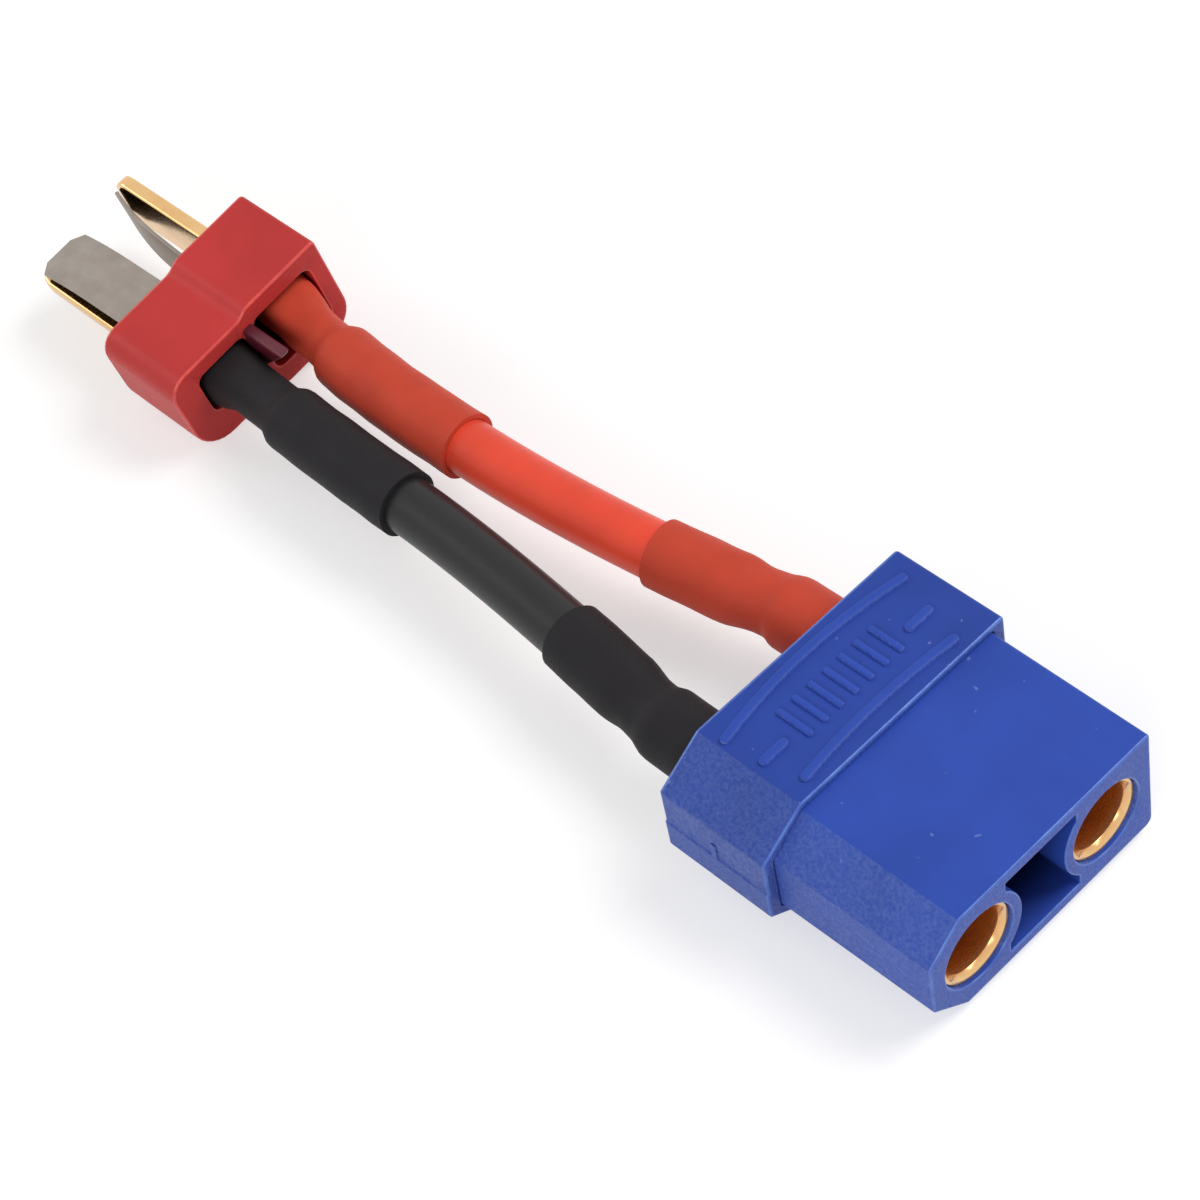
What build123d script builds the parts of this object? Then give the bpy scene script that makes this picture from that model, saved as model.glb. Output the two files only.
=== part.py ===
from build123d import *
import math
import os

# A short two-lead battery adapter. A flat moulded blade plug with two crossed
# blades and leaf springs is joined by two silicone leads to a two-way socket
# housing with turned bullet sockets and a clip-on rear cap.
# Frame: +X points from the blade plug to the mating face of the socket housing,
# +Y to the positive (red) lead, +Z up. The origin is the centre of the rear cap's
# underside, which lies on the table. All sizes are in millimetres.

# Socket housing, the nose that enters the mating connector
socket_pitch = 10.9
nose_side_wall = 1.12
nose_height = 8.4
nose_length = 11.6
nose_key_y = 2.6
nose_key_z = 2.1
nose_top_radius = 0.2
nose_bottom_radius = 0.6
nose_edge_chamfer = 0.12
boss_radius = 3.6
recess_width = 6.0
recess_wall = 0.8
recess_depth = 8.5

# Clip-on rear cap
cap_length = 8.4
cap_side_wall = 1.0
cap_top_wall = 0.55
cap_back_wall = 1.2
cap_key_y = 3.6
cap_key_z = 2.3
cap_top_radius = 0.25
cap_bottom_radius = 0.8
cap_clearance = 0.05
cap_edge_chamfer = 0.15

# Raised lines on the cap's top: two bowed bars, two dashes and a row of ribs
mark_height = 0.25
mark_width = 0.65
rear_bar_x = -2.3
rear_bar_from = -6.3
rear_bar_to = 8.9
rear_bar_bow = 0.75
front_bar_x = 3.1
front_bar_from = -5.3
front_bar_to = 7.3
front_bar_bow = 0.4
dash_x = 0.5
dash_length = 2.2
dash_reach = 6.2
dash_offset = 1.0
rib_count = 7
rib_pitch = 1.3
rib_width = 0.4
rib_length = 2.6

# Turned sockets with solder cups
bore_radius = 2.25
contact_radius = 2.8
contact_setback = 0.3
bore_length = 11.0
bore_lead_in = 0.2
collar_radius = 3.15
collar_front_x = 1.2
contact_clearance = 0.03
cup_radius = 2.1
cup_bore_radius = 1.65
cup_depth = 9.0
cup_reach = 5.0

# Blade plug, in its own frame: x from its blade face towards the leads
plug_x = -60.4
plug_y = -0.18
plug_roll = 9.9
plug_width = 14.3
plug_length = 7.7
plug_tall_half = 4.3
plug_low_half = 3.8
plug_step_from = 0.9
plug_step_to = -0.7
plug_tall_top_radius = 0.3
plug_tall_bottom_radius = 2.2
plug_low_top_radius = 1.6
plug_low_bottom_radius = 2.6
plug_edge_chamfer = 0.2
plug_floor = 2.4
plug_wall = 1.1
plug_end_wall = 1.4
plug_pocket_radius = 1.0
barrier_thickness = 0.9
barrier_y = -0.05
barrier_reach = 4.3
barrier_cut_back = 5.8
barrier_half_height = 2.9
barrier_edge_chamfer = 0.2

# Stamped blades, the same stamping laid flat and set upright
blade_thickness = 1.05
blade_width = 4.7
blade_reach = 11.6
blade_tip_radius = 1.2
blade_tip_chamfer = 0.25
neck_width = 4.1
tab_width = 2.9
tab_reach = 7.5
tab_joggle = 0.85
tab_joggle_length = 1.0
tab_corner_radius = 0.5
flat_blade_inset = 4.5
upright_blade_inset = 3.2
slot_clearance = 0.03

# Leaf springs, a bowed strip on each blade with its tail loose in a slot
leaf_thickness = 0.3
leaf_width = 3.9
leaf_apex_x = -1.7
leaf_bow_radius = 24.0
leaf_tip_x = -10.9
leaf_tail_x = 0.5
leaf_tip_gap = 0.05
leaf_tip_chamfer = 0.7
leaf_slot_depth = 1.4
leaf_slot_clearance = 0.1

# Leads, shrink sleeves and solder
insulation_radius = 1.95
strand_radius = 0.95
red_insulation_x = -47.6
black_insulation_x = -46.4
insulation_end_x = -12.3
sleeve_wall = 0.35
sleeve_clearance = 0.03
tab_sleeve_width = 3.6
tab_sleeve_radius = 0.5
tab_sleeve_start = 3.5
tab_sleeve_end = 8.4
sleeve_mouth_radius = 1.4
red_sleeve_end_x = -34.6
black_sleeve_end_x = -34.4
red_cup_sleeve_x = -18.3
black_cup_sleeve_x = -18.1
sleeve_neck_radius = 1.72
sleeve_neck_x = -10.7
sleeve_neck_overlap = 0.5
solder_length = 3.4
solder_width = 2.7
solder_bare = 0.2
solder_film = 0.05
cup_solder_x = -4.9

# Routes of the two leads between the tab and the cup, chosen by hand
tab_start = 3.5
tab_straight_end = 9.4
cup_straight_start = -8.6
cup_straight_end = -0.6
red_route = [
    (-42.0, 2.01, 5.19),
    (-23.5, 2.71, 5.00),
]
black_route = [
    (-42.5, -3.31, 4.72),
    (-25.0, -3.46, 4.76),
]

# Derived sizes
nose_width = socket_pitch + 2 * (contact_radius + contact_clearance + nose_side_wall)
cap_width = nose_width + 2 * (cap_side_wall + cap_clearance)
cap_height = nose_height + 2 * (cap_top_wall + cap_clearance)
axis_z = cap_height / 2
cap_front_x = cap_length / 2
cap_back_x = -cap_length / 2
mating_x = cap_front_x + nose_length
nose_back_x = cap_back_x + cap_back_wall
contact_front_x = mating_x - contact_setback
cup_end_x = cap_back_x - cup_reach
roll = math.radians(plug_roll)
# the plug leans on the rounded lower edge of its black side
plug_z = ((plug_low_half - plug_low_bottom_radius) * math.cos(roll)
          + (plug_width / 2 - plug_low_bottom_radius) * math.sin(roll) + plug_low_bottom_radius)
plug_frame = Location((plug_x, plug_y, plug_z), (plug_roll, 0, 0))
leaf_mid_t = blade_thickness / 2 + leaf_tip_gap + leaf_thickness / 2
leaf_apex_t = leaf_mid_t + leaf_bow_radius - math.sqrt(
    leaf_bow_radius ** 2 - (leaf_apex_x - leaf_tip_x) ** 2)
flat_blade_y = flat_blade_inset - plug_width / 2
upright_blade_y = plug_width / 2 - upright_blade_inset
tab_centre_t = -tab_joggle
strand_t = tab_centre_t + blade_thickness / 2 + solder_film + strand_radius


def keyed_outline(half_width, half_height, key_y, key_z, top_radius, bottom_radius):
    """Section across X: square on the positive side, chamfered on the negative one."""
    outline = make_face(Polyline(
        (-half_width + key_y, half_height),
        (half_width, half_height),
        (half_width, -half_height),
        (-half_width + key_y, -half_height),
        (-half_width, -half_height + key_z),
        (-half_width, half_height - key_z),
        close=True,
    ))
    bottom, top = outline.vertices().sort_by(Axis.X)[-2:].sort_by(Axis.Y)
    outline = fillet(bottom, bottom_radius)
    top = outline.vertices().group_by(Axis.Y)[-1].sort_by(Axis.X)[-1]
    return fillet(top, top_radius)


def along_x(section, start_x, end_x, centre_z=axis_z):
    """A Y-Z section made solid between two stations on X."""
    placed = Plane((start_x, 0, centre_z), x_dir=(0, 1, 0), z_dir=(1, 0, 0)) * section
    return extrude(placed, end_x - start_x)


def rod_x(radius, start_x, end_x, y, z):
    """A round bar along X."""
    return along_x(Pos(y, 0) * Circle(radius), start_x, end_x, z)


def outer_edges_at_x(shape, x):
    """The outer outline of the face at x."""
    faces = [f for f in shape.faces() if abs(f.center().X - x) < 1e-4 and f.normal_at().X ** 2 > 0.99]
    return max(faces, key=lambda f: f.area).outer_wire().edges()


def socket_housing():
    """The blue nose with its two bosses, bored for the sockets, and the recess between."""
    body = along_x(
        keyed_outline(nose_width / 2, nose_height / 2, nose_key_y, nose_key_z,
                      nose_top_radius, nose_bottom_radius),
        nose_back_x, mating_x)
    body = chamfer(outer_edges_at_x(body, mating_x), nose_edge_chamfer)
    recess = Rectangle(recess_width, nose_height - 2 * recess_wall)
    for side in (-1, 1):
        recess -= Pos(side * socket_pitch / 2, 0) * Circle(boss_radius)
    body -= along_x(recess, mating_x - recess_depth, mating_x)
    for side in (-1, 1):
        y = side * socket_pitch / 2
        body -= rod_x(contact_radius + contact_clearance, collar_front_x, mating_x, y, axis_z)
        body -= rod_x(collar_radius + contact_clearance, nose_back_x, collar_front_x, y, axis_z)
    return body


def bowed_bar(x, from_y, to_y, bow):
    """A raised bar, bowed to the rear."""
    return trace(ThreePointArc((x, from_y), (x - bow, (from_y + to_y) / 2), (x, to_y)), mark_width)


def cap_marks():
    """The raised lines on the cap's top, as one sketch seen from above."""
    marks = bowed_bar(rear_bar_x, rear_bar_from, rear_bar_to, rear_bar_bow)
    marks += bowed_bar(front_bar_x, front_bar_from, front_bar_to, front_bar_bow)
    for side in (-1, 1):
        y = side * dash_reach + dash_offset
        marks += Pos(dash_x, y) * Rectangle(mark_width, dash_length)
    for rib in range(rib_count):
        y = (rib - (rib_count - 1) / 2) * rib_pitch + dash_offset
        marks += Pos((rear_bar_x + front_bar_x - rear_bar_bow) / 2, y) * Rectangle(rib_length, rib_width)
    return marks


def socket_rear_cap():
    """The blue collar that slides over the nose from behind and closes the cups in."""
    shell = along_x(
        keyed_outline(cap_width / 2, cap_height / 2, cap_key_y, cap_key_z,
                      cap_top_radius, cap_bottom_radius),
        cap_back_x, cap_front_x)
    shell = chamfer(outer_edges_at_x(shell, cap_back_x), cap_edge_chamfer)
    shell += extrude(Pos(0, 0, cap_height) * cap_marks(), mark_height)
    shell -= along_x(
        keyed_outline(nose_width / 2 + cap_clearance, nose_height / 2 + cap_clearance,
                      nose_key_y + cap_clearance / 2, nose_key_z + cap_clearance / 2,
                      nose_top_radius, nose_bottom_radius),
        cap_back_x + cap_back_wall, cap_front_x)
    hole_radius = cup_radius + sleeve_clearance + sleeve_wall + sleeve_clearance
    for side in (-1, 1):
        shell -= rod_x(hole_radius, cap_back_x, cap_back_x + cap_back_wall,
                       side * socket_pitch / 2, axis_z)
    return shell


def socket_contact(side):
    """A turned socket: plain bore in front, locating collar, solder cup behind."""
    bore_end_x = contact_front_x - bore_length
    half_section = make_face(Polyline(
        (contact_front_x, bore_radius + bore_lead_in),
        (contact_front_x, contact_radius),
        (collar_front_x, contact_radius),
        (collar_front_x, collar_radius),
        (nose_back_x, collar_radius),
        (nose_back_x, cup_radius),
        (cup_end_x, cup_radius),
        (cup_end_x, cup_bore_radius),
        (cup_end_x + cup_depth, cup_bore_radius),
        (cup_end_x + cup_depth, 0),
        (bore_end_x, 0),
        (bore_end_x, bore_radius),
        (contact_front_x - bore_lead_in, bore_radius),
        close=True,
    ))
    return Pos(0, side * socket_pitch / 2, axis_z) * revolve(half_section, Axis.X, 360)


def plug_outline():
    """Section of the plug moulding: square tall side, rounded low side, soft step between."""
    half = plug_width / 2
    tall, low = plug_tall_half, plug_low_half
    middle = ((plug_step_from + plug_step_to) / 2, (tall + low) / 2)
    run, rise = plug_step_from - plug_step_to, tall - low
    step_radius = (run ** 2 + rise ** 2) / (4 * rise)
    rounds = ((1, plug_tall_top_radius, plug_low_top_radius),
              (-1, plug_tall_bottom_radius, plug_low_bottom_radius))
    edges = []
    for up, right, left in rounds:
        joint = (middle[0], up * middle[1])
        edges.append(Line((half - right, up * tall), (plug_step_from, up * tall)))
        edges.append(RadiusArc((plug_step_from, up * tall), joint, -up * step_radius))
        edges.append(RadiusArc(joint, (plug_step_to, up * low), up * step_radius))
        edges.append(Line((plug_step_to, up * low), (-half + left, up * low)))
        edges.append(RadiusArc((-half + left, up * low), (-half, up * (low - left)), -up * left))
        edges.append(RadiusArc((half, up * (tall - right)), (half - right, up * tall), -up * right))
    edges.append(Line((-half, low - plug_low_top_radius), (-half, -low + plug_low_bottom_radius)))
    edges.append(Line((half, tall - plug_tall_top_radius), (half, -tall + plug_tall_bottom_radius)))
    return make_face(edges)


def plug_section_solid(section, start_x, end_x):
    """A section of the plug made solid in the plug's own frame."""
    return along_x(section, start_x, end_x, 0)


def pocket(from_y, to_y, half_height):
    """One soldering pocket, open towards the leads."""
    section = Pos((from_y + to_y) / 2, 0) * RectangleRounded(
        to_y - from_y, 2 * half_height, plug_pocket_radius)
    return plug_section_solid(section, plug_floor, plug_length)


def blade_slots():
    """Slots through the plug's floor for the blades' necks and the leaf tails."""
    leaf_room = leaf_apex_t + leaf_thickness / 2 + leaf_slot_clearance
    neck = plug_section_solid(
        Rectangle(neck_width + 2 * slot_clearance, blade_thickness + 2 * slot_clearance),
        0, plug_floor)
    leaf = plug_section_solid(
        Pos(0, leaf_room / 2) * Rectangle(leaf_width + 2 * leaf_slot_clearance, leaf_room),
        0, leaf_slot_depth)
    one = neck + leaf
    flat = Pos(0, flat_blade_y, 0) * one
    upright = Pos(0, upright_blade_y, 0) * Rot(90, 0, 0) * one
    return flat, upright


def barrier():
    """The fin between the two tabs, with its end cut back towards the bottom."""
    end_x = plug_length + barrier_reach
    side = make_face(Polyline(
        (plug_floor, -barrier_half_height), (end_x - barrier_cut_back, -barrier_half_height),
        (end_x, barrier_half_height), (plug_floor, barrier_half_height), close=True))
    fin = Pos(0, barrier_y, 0) * extrude(Plane.XZ * side, barrier_thickness / 2, both=True)
    end_face = fin.faces().sort_by(Axis.X)[-1]
    return chamfer(end_face.edges(), barrier_edge_chamfer)


def blade_plug_housing():
    """The red moulding with two soldering pockets and the barrier between the tabs."""
    half = plug_width / 2
    body = plug_section_solid(plug_outline(), 0, plug_length)
    body = chamfer(outer_edges_at_x(body, 0), plug_edge_chamfer)
    near = barrier_y - barrier_thickness / 2
    far = barrier_y + barrier_thickness / 2
    body -= pocket(-half + plug_end_wall, near, plug_low_half - plug_wall)
    body -= pocket(far, half - plug_end_wall, plug_tall_half - plug_wall)
    body += barrier()
    for slot in blade_slots():
        body -= slot
    return plug_frame * body


def blade_stamping():
    """A blade lying flat: rounded tip, neck through the moulding, joggled solder tab."""
    wide, neck, tab = blade_width / 2, neck_width / 2, tab_width / 2
    outline = make_face(Polyline(
        (-blade_reach, -wide), (0, -wide), (0, -neck), (plug_floor, -neck), (plug_floor, -tab),
        (tab_reach, -tab), (tab_reach, tab), (plug_floor, tab), (plug_floor, neck), (0, neck),
        (0, wide), (-blade_reach, wide), close=True))
    by_x = outline.vertices().sort_by(Axis.X)
    outline = fillet(by_x[:2], blade_tip_radius)
    outline = fillet(outline.vertices().sort_by(Axis.X)[-2:], tab_corner_radius)
    depth = tab_joggle + blade_thickness
    blank = extrude(Pos(0, 0, -depth) * outline, 2 * depth)
    half = blade_thickness / 2
    bend_x = plug_floor + tab_joggle_length
    profile = make_face(Polyline(
        (-blade_reach, half), (plug_floor, half), (bend_x, half - tab_joggle),
        (tab_reach, half - tab_joggle), (tab_reach, -half - tab_joggle),
        (bend_x, -half - tab_joggle), (plug_floor, -half), (-blade_reach, -half), close=True))
    plate = blank & extrude(Plane.XZ * profile, blade_width, both=True)
    tip = [e for e in plate.edges() if e.center().X < -blade_reach + blade_tip_radius
           and abs(abs(e.center().Z) - blade_thickness / 2) < 1e-4]
    return chamfer(tip, blade_tip_chamfer)


def leaf_spring():
    """A bowed strip on top of a flat blade, its tip on the blade and its tail in the slot."""
    centre = (leaf_apex_x, leaf_apex_t - leaf_bow_radius)

    def on_arc(x, radius):
        return (x, centre[1] + math.sqrt(radius ** 2 - (x - centre[0]) ** 2))

    outer = leaf_bow_radius + leaf_thickness / 2
    inner = leaf_bow_radius - leaf_thickness / 2
    side = make_face([
        ThreePointArc(on_arc(leaf_tip_x, outer), on_arc(leaf_apex_x, outer), on_arc(leaf_tail_x, outer)),
        Line(on_arc(leaf_tail_x, outer), on_arc(leaf_tail_x, inner)),
        ThreePointArc(on_arc(leaf_tail_x, inner), on_arc(leaf_apex_x, inner), on_arc(leaf_tip_x, inner)),
        Line(on_arc(leaf_tip_x, inner), on_arc(leaf_tip_x, outer)),
    ])
    strip = extrude(Plane.XZ * side, leaf_width / 2, both=True)
    half = leaf_width / 2
    plan = make_face(Polyline(
        (leaf_tip_x, -half + leaf_tip_chamfer), (leaf_tip_x + leaf_tip_chamfer, -half),
        (leaf_tail_x, -half), (leaf_tail_x, half), (leaf_tip_x + leaf_tip_chamfer, half),
        (leaf_tip_x, half - leaf_tip_chamfer), close=True))
    return strip & extrude(plan, leaf_bow_radius)


def lead_radii(points):
    """Bend radius at each inner point: as large as its two runs allow."""
    spots = [Vector(*p) for p in points]
    radii = []
    for before, here, after in zip(spots, spots[1:], spots[2:]):
        turn = math.radians((here - before).get_angle(after - here))
        shorter = min((here - before).length, (after - here).length)
        radii.append(0.45 * shorter / math.tan(turn / 2))
    return radii


def lead_points(blade_frame, route, side):
    """The whole route of a lead: straight on the tab, by hand between, straight in the cup."""
    blade_plane = Plane(blade_frame)
    on_tab = [tuple(blade_plane.from_local_coords((x, 0, strand_t)))
              for x in (tab_start, tab_straight_end)]
    in_cup = [(x, side * socket_pitch / 2, axis_z) for x in (cup_straight_start, cup_straight_end)]
    return on_tab + route + in_cup


def lead_path(points):
    """Straight runs joined by tangent arcs."""
    return FilletPolyline(*points, radius=lead_radii(points))


def share_at_x(path, x):
    """How far along a lead, from 0 to 1, it passes the station x."""
    low, high = 0.0, 1.0
    for _ in range(40):
        middle = (low + high) / 2
        if (path @ middle).X < x:
            low = middle
        else:
            high = middle
    return (low + high) / 2


def piece_of(path, start_x, end_x):
    """The stretch of a lead between two stations on X."""
    return path.trim(share_at_x(path, start_x), share_at_x(path, end_x))


def start_plane(path):
    """The plane across a stretch at its start."""
    return Plane(path @ 0, x_dir=(0, 1, 0), z_dir=path % 0)


def swept_bar(path, radius):
    """A round bar along a stretch of a lead."""
    return sweep(start_plane(path) * Circle(radius), path)


def run_plane(points, corner, x):
    """The plane across the straight run before a route corner, where it passes station x."""
    before, after = Vector(*points[corner - 1]), Vector(*points[corner])
    run = after - before
    return Plane(before + run * ((x - before.X) / run.X), x_dir=(0, 1, 0), z_dir=run)


def turned_on(plane, profile):
    """A round solid about a plane's normal, from (distance along it, radius) pairs."""
    first, last = profile[0][0], profile[-1][0]
    outline = Polyline((first, 0), *profile, (last, 0), close=True)
    about = Plane(plane.origin, x_dir=plane.z_dir, z_dir=plane.y_dir)
    return revolve(about * make_face(outline), Axis(plane.origin, plane.z_dir), 360)


def wire_insulation(path, start_x):
    """The jacketed stretch of a lead, a plain round bar."""
    return swept_bar(piece_of(path, start_x, insulation_end_x), insulation_radius)


def wire_strands(path, insulation_x):
    """The bared strands of a lead: one end lies on the tab, the other goes into the cup."""
    on_tab = path.trim(0, share_at_x(path, insulation_x))
    in_cup = path.trim(share_at_x(path, insulation_end_x), 1)
    return swept_bar(on_tab, strand_radius), swept_bar(in_cup, strand_radius)


def tab_section(grow):
    """Section of the sleeve over tab and strands, across the lying blade's tab."""
    height = blade_thickness + solder_film + 2 * (strand_radius + sleeve_clearance)
    return Pos(0, tab_centre_t + strand_radius + solder_film / 2) * RectangleRounded(
        tab_sleeve_width + 2 * grow, height + 2 * grow, tab_sleeve_radius + grow)


def plug_sleeve(path, points, blade_frame, insulation_x, sleeve_end_x):
    """Shrink sleeve: flattened over the solder tab, drawn in over the bared strands and
    stepped out where it goes on to the insulation."""
    mouth_x = (blade_frame * Location((tab_sleeve_end, 0, strand_t))).position.X
    mouth = run_plane(points, 2, mouth_x)
    drawn_length = (insulation_x - mouth_x) / mouth.z_dir.X
    inner_radius = insulation_radius + sleeve_clearance

    def body(grow):
        flat = blade_frame * plug_section_solid(tab_section(grow), tab_sleeve_start, tab_sleeve_end + grow)
        drawn = turned_on(mouth, [(-sleeve_wall, sleeve_mouth_radius + grow),
                                  (drawn_length, sleeve_mouth_radius + grow)])
        tube = swept_bar(piece_of(path, insulation_x - grow, sleeve_end_x), inner_radius + grow)
        return flat + drawn + tube

    return body(sleeve_wall) - body(0)


def cup_sleeve(points, side, sleeve_start_x):
    """Shrink sleeve from the insulation, necked over the bare strands, on to the cup."""
    inner_radius = insulation_radius + sleeve_clearance
    cup_inner = cup_radius + sleeve_clearance
    start = run_plane(points, -2, sleeve_start_x)
    jacket_end = (insulation_end_x - sleeve_start_x) / start.z_dir.X
    neck = (sleeve_neck_x - sleeve_start_x) / start.z_dir.X
    mouth_x = cup_end_x - sleeve_clearance
    cup_plane = Plane((mouth_x, side * socket_pitch / 2, axis_z), x_dir=(0, 1, 0), z_dir=(1, 0, 0))
    tail = mouth_x - sleeve_neck_x + sleeve_neck_overlap

    def body(grow):
        on_run = turned_on(start, [(0, inner_radius + grow), (jacket_end, inner_radius + grow),
                                   (neck, sleeve_neck_radius + grow),
                                   (neck + tail, sleeve_neck_radius + grow)])
        on_cup = turned_on(cup_plane, [(-grow, cup_inner + grow),
                                       (cap_back_x + cap_back_wall - mouth_x, cup_inner + grow)])
        return on_run + on_cup

    return body(sleeve_wall) - body(0)


def tab_solder():
    """Solder that fillets the bared strands to the tab, in the lying blade's frame."""
    height = solder_film + 2 * strand_radius - solder_bare
    half = solder_width / 2
    top = tab_centre_t + blade_thickness / 2
    side = make_face([
        Line((-half, top), (half, top)),
        ThreePointArc((half, top), (half * 0.8, top + height * 0.6), (0, top + height)),
        ThreePointArc((0, top + height), (-half * 0.8, top + height * 0.6), (-half, top)),
    ])
    end = tab_reach - 0.3
    return plug_section_solid(side, end - solder_length, end)


def cup_solder(side):
    """Solder that fills the bottom of the cup around the strands."""
    ring = Circle(cup_bore_radius) - Circle(strand_radius)
    return along_x(Pos(side * socket_pitch / 2, 0) * ring, cup_solder_x, cup_straight_end)


def save(name, shape):
    """Write one node."""
    shape.label = name
    export_step(shape, os.path.join("parts", name + ".step"))


def build():
    os.makedirs("parts", exist_ok=True)
    flat_frame = plug_frame * Location((0, flat_blade_y, 0))
    upright_frame = plug_frame * Location((0, upright_blade_y, 0), (90, 0, 0))
    red_points = lead_points(upright_frame, red_route, 1)
    black_points = lead_points(flat_frame, black_route, -1)
    red_path = lead_path(red_points)
    black_path = lead_path(black_points)
    for name, points, path in (("red", red_points, red_path), ("black", black_points, black_path)):
        print(name, "bend radii", [round(r, 1) for r in lead_radii(points)], "length", round(path.length, 2))
        print("ends", [tuple(round(c, 3) for c in p) for p in points[:2] + points[-2:]])
    red_tab_strands, red_cup_strands = wire_strands(red_path, red_insulation_x)
    black_tab_strands, black_cup_strands = wire_strands(black_path, black_insulation_x)
    nodes = {
        "socket_housing": socket_housing(),
        "socket_rear_cap": socket_rear_cap(),
        "positive_socket_contact": socket_contact(1),
        "negative_socket_contact": socket_contact(-1),
        "blade_plug_housing": blade_plug_housing(),
        "flat_blade": flat_frame * blade_stamping(),
        "upright_blade": upright_frame * blade_stamping(),
        "flat_blade_spring": flat_frame * leaf_spring(),
        "upright_blade_spring": upright_frame * leaf_spring(),
        "red_wire_insulation": wire_insulation(red_path, red_insulation_x),
        "black_wire_insulation": wire_insulation(black_path, black_insulation_x),
        "red_wire_strands": Compound([red_tab_strands, red_cup_strands]),
        "black_wire_strands": Compound([black_tab_strands, black_cup_strands]),
        "red_plug_sleeve": plug_sleeve(red_path, red_points, upright_frame,
                                       red_insulation_x, red_sleeve_end_x),
        "black_plug_sleeve": plug_sleeve(black_path, black_points, flat_frame,
                                         black_insulation_x, black_sleeve_end_x),
        "red_socket_sleeve": cup_sleeve(red_points, 1, red_cup_sleeve_x),
        "black_socket_sleeve": cup_sleeve(black_points, -1, black_cup_sleeve_x),
        "red_tab_solder": upright_frame * tab_solder() - red_tab_strands,
        "black_tab_solder": flat_frame * tab_solder() - black_tab_strands,
        "red_cup_solder": cup_solder(1),
        "black_cup_solder": cup_solder(-1),
    }
    for name, shape in nodes.items():
        save(name, shape)


build()
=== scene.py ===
"""Looks for a two-lead battery adapter: a moulded blade plug, two soft leads and a keyed
socket housing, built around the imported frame. The script runs inside Blender."""

import math

import bmesh
import bpy
from mathutils import Matrix, Vector, noise


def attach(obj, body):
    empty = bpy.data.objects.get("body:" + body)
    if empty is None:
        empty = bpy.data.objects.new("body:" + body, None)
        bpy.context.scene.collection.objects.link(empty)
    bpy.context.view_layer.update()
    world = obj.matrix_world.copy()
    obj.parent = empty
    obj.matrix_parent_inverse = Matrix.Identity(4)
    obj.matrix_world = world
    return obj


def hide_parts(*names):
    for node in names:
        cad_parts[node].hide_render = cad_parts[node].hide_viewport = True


bl_info = {
    "name": "Battery Adapter",
    "version": (1, 0, 0),
    "blender": (4, 5, 0),
    "location": "View3D > Sidebar > Adapter",
    "description": "Builds the looks of a two-lead battery adapter on its packed frame",
    "category": "Object",
}

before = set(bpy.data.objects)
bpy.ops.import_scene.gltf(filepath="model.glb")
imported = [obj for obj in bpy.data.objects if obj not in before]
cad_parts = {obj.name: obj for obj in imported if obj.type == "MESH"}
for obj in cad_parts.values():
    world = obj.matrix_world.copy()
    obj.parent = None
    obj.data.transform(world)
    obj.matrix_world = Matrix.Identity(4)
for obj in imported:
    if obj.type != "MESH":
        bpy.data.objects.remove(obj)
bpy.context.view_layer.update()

MM = 0.001
ROOT = "adapter"
EDGE_STEPS = 4
EDGE_REACH, EDGE_WIDEST = 0.3, 0.12
SPAN_STEPS = 40
LINE_POINTS = 160

# The camera that a fit to the photograph gave, in metres
CAMERA_PLACE = (0.08666, -0.07355, 0.15547)
CAMERA_RIGHT = (0.69542, 0.70293, -0.14927)
CAMERA_UP = (-0.48127, 0.60983, 0.62967)
CAMERA_BACK = (0.53365, -0.36605, 0.76238)
CAMERA_LENS = 96.03
SENSOR = 36.0
CLIP_START, CLIP_END = 0.005, 5.0

# The table's half width and the lamps: name, place, size and power at full light, in metres and watts
TABLE_HALF = 0.9
LAMP_TARGET = (-0.02, 0, 0)
LAMPS = (
    ("window_light", (0.14, 0.30, 0.42), (0.30, 0.30), 1.60),
    ("side_light", (-0.42, -0.14, 0.20), (0.22, 0.20), 0.35),
    ("fill_light", (0.18, -0.38, 0.24), (0.30, 0.18), 0.78),
)

# The same points as in the part's source, in metres
RED_ROUTE = [
    (-0.0476, 0.002655, 0.005151),
    (-0.0420, 0.00201, 0.00519),
    (-0.0235, 0.00271, 0.00500),
    (-0.0123, 0.00477, 0.00485),
]
BLACK_ROUTE = [
    (-0.0464, -0.003125, 0.004745),
    (-0.0425, -0.00331, 0.00472),
    (-0.0250, -0.00346, 0.00476),
    (-0.0123, -0.005001, 0.004791),
]

# Sizes that the pieces share, in millimetres. Most are the part's source's own; edges, seams and
# the leaf springs' shape follow the photograph.
PITCH = 10.9
AXIS_Z = 4.8
MATING_X = 15.8
CAP_FRONT = 4.2
CAP_BACK = -4.2
PLUG_PLACE = (-60.4, -0.18, 4.5644)
PLUG_ROLL = 9.9
FLAT_Y = -2.65
UPRIGHT_Y = 3.95
BLADE_THICK = 1.05
JOGGLE = 0.85
LEAD_R = 1.95
CUP_END_X = -9.2
GROUP_T = 0.125
NOSE_WIDTH = 18.8
NOSE_HEIGHT = 8.4
NOSE_LENGTH = 11.6
NOSE_KEY_Y = 2.6
NOSE_KEY_Z = 2.1
NOSE_DRAFT = 0.1
RECESS_WIDTH = 6.0
RECESS_WALL = 0.8
RECESS_DEPTH = 8.5
BOSS_RADIUS = 3.6
HOLE_R = 2.83
NOSE_EDGE = 0.14
MOUTH_EDGE = 0.1
MOUTH_STEPS = 3
CAP_WIDTH = 20.9
CAP_HEIGHT = 9.6
CAP_WALL = 1.2
CAP_KEY_Y = 3.6
CAP_KEY_Z = 2.3
CAP_HOLE_R = 2.51
CAP_HOLE_EDGE = 0.12
CAP_MOUTH_EDGE = 0.06
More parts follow.
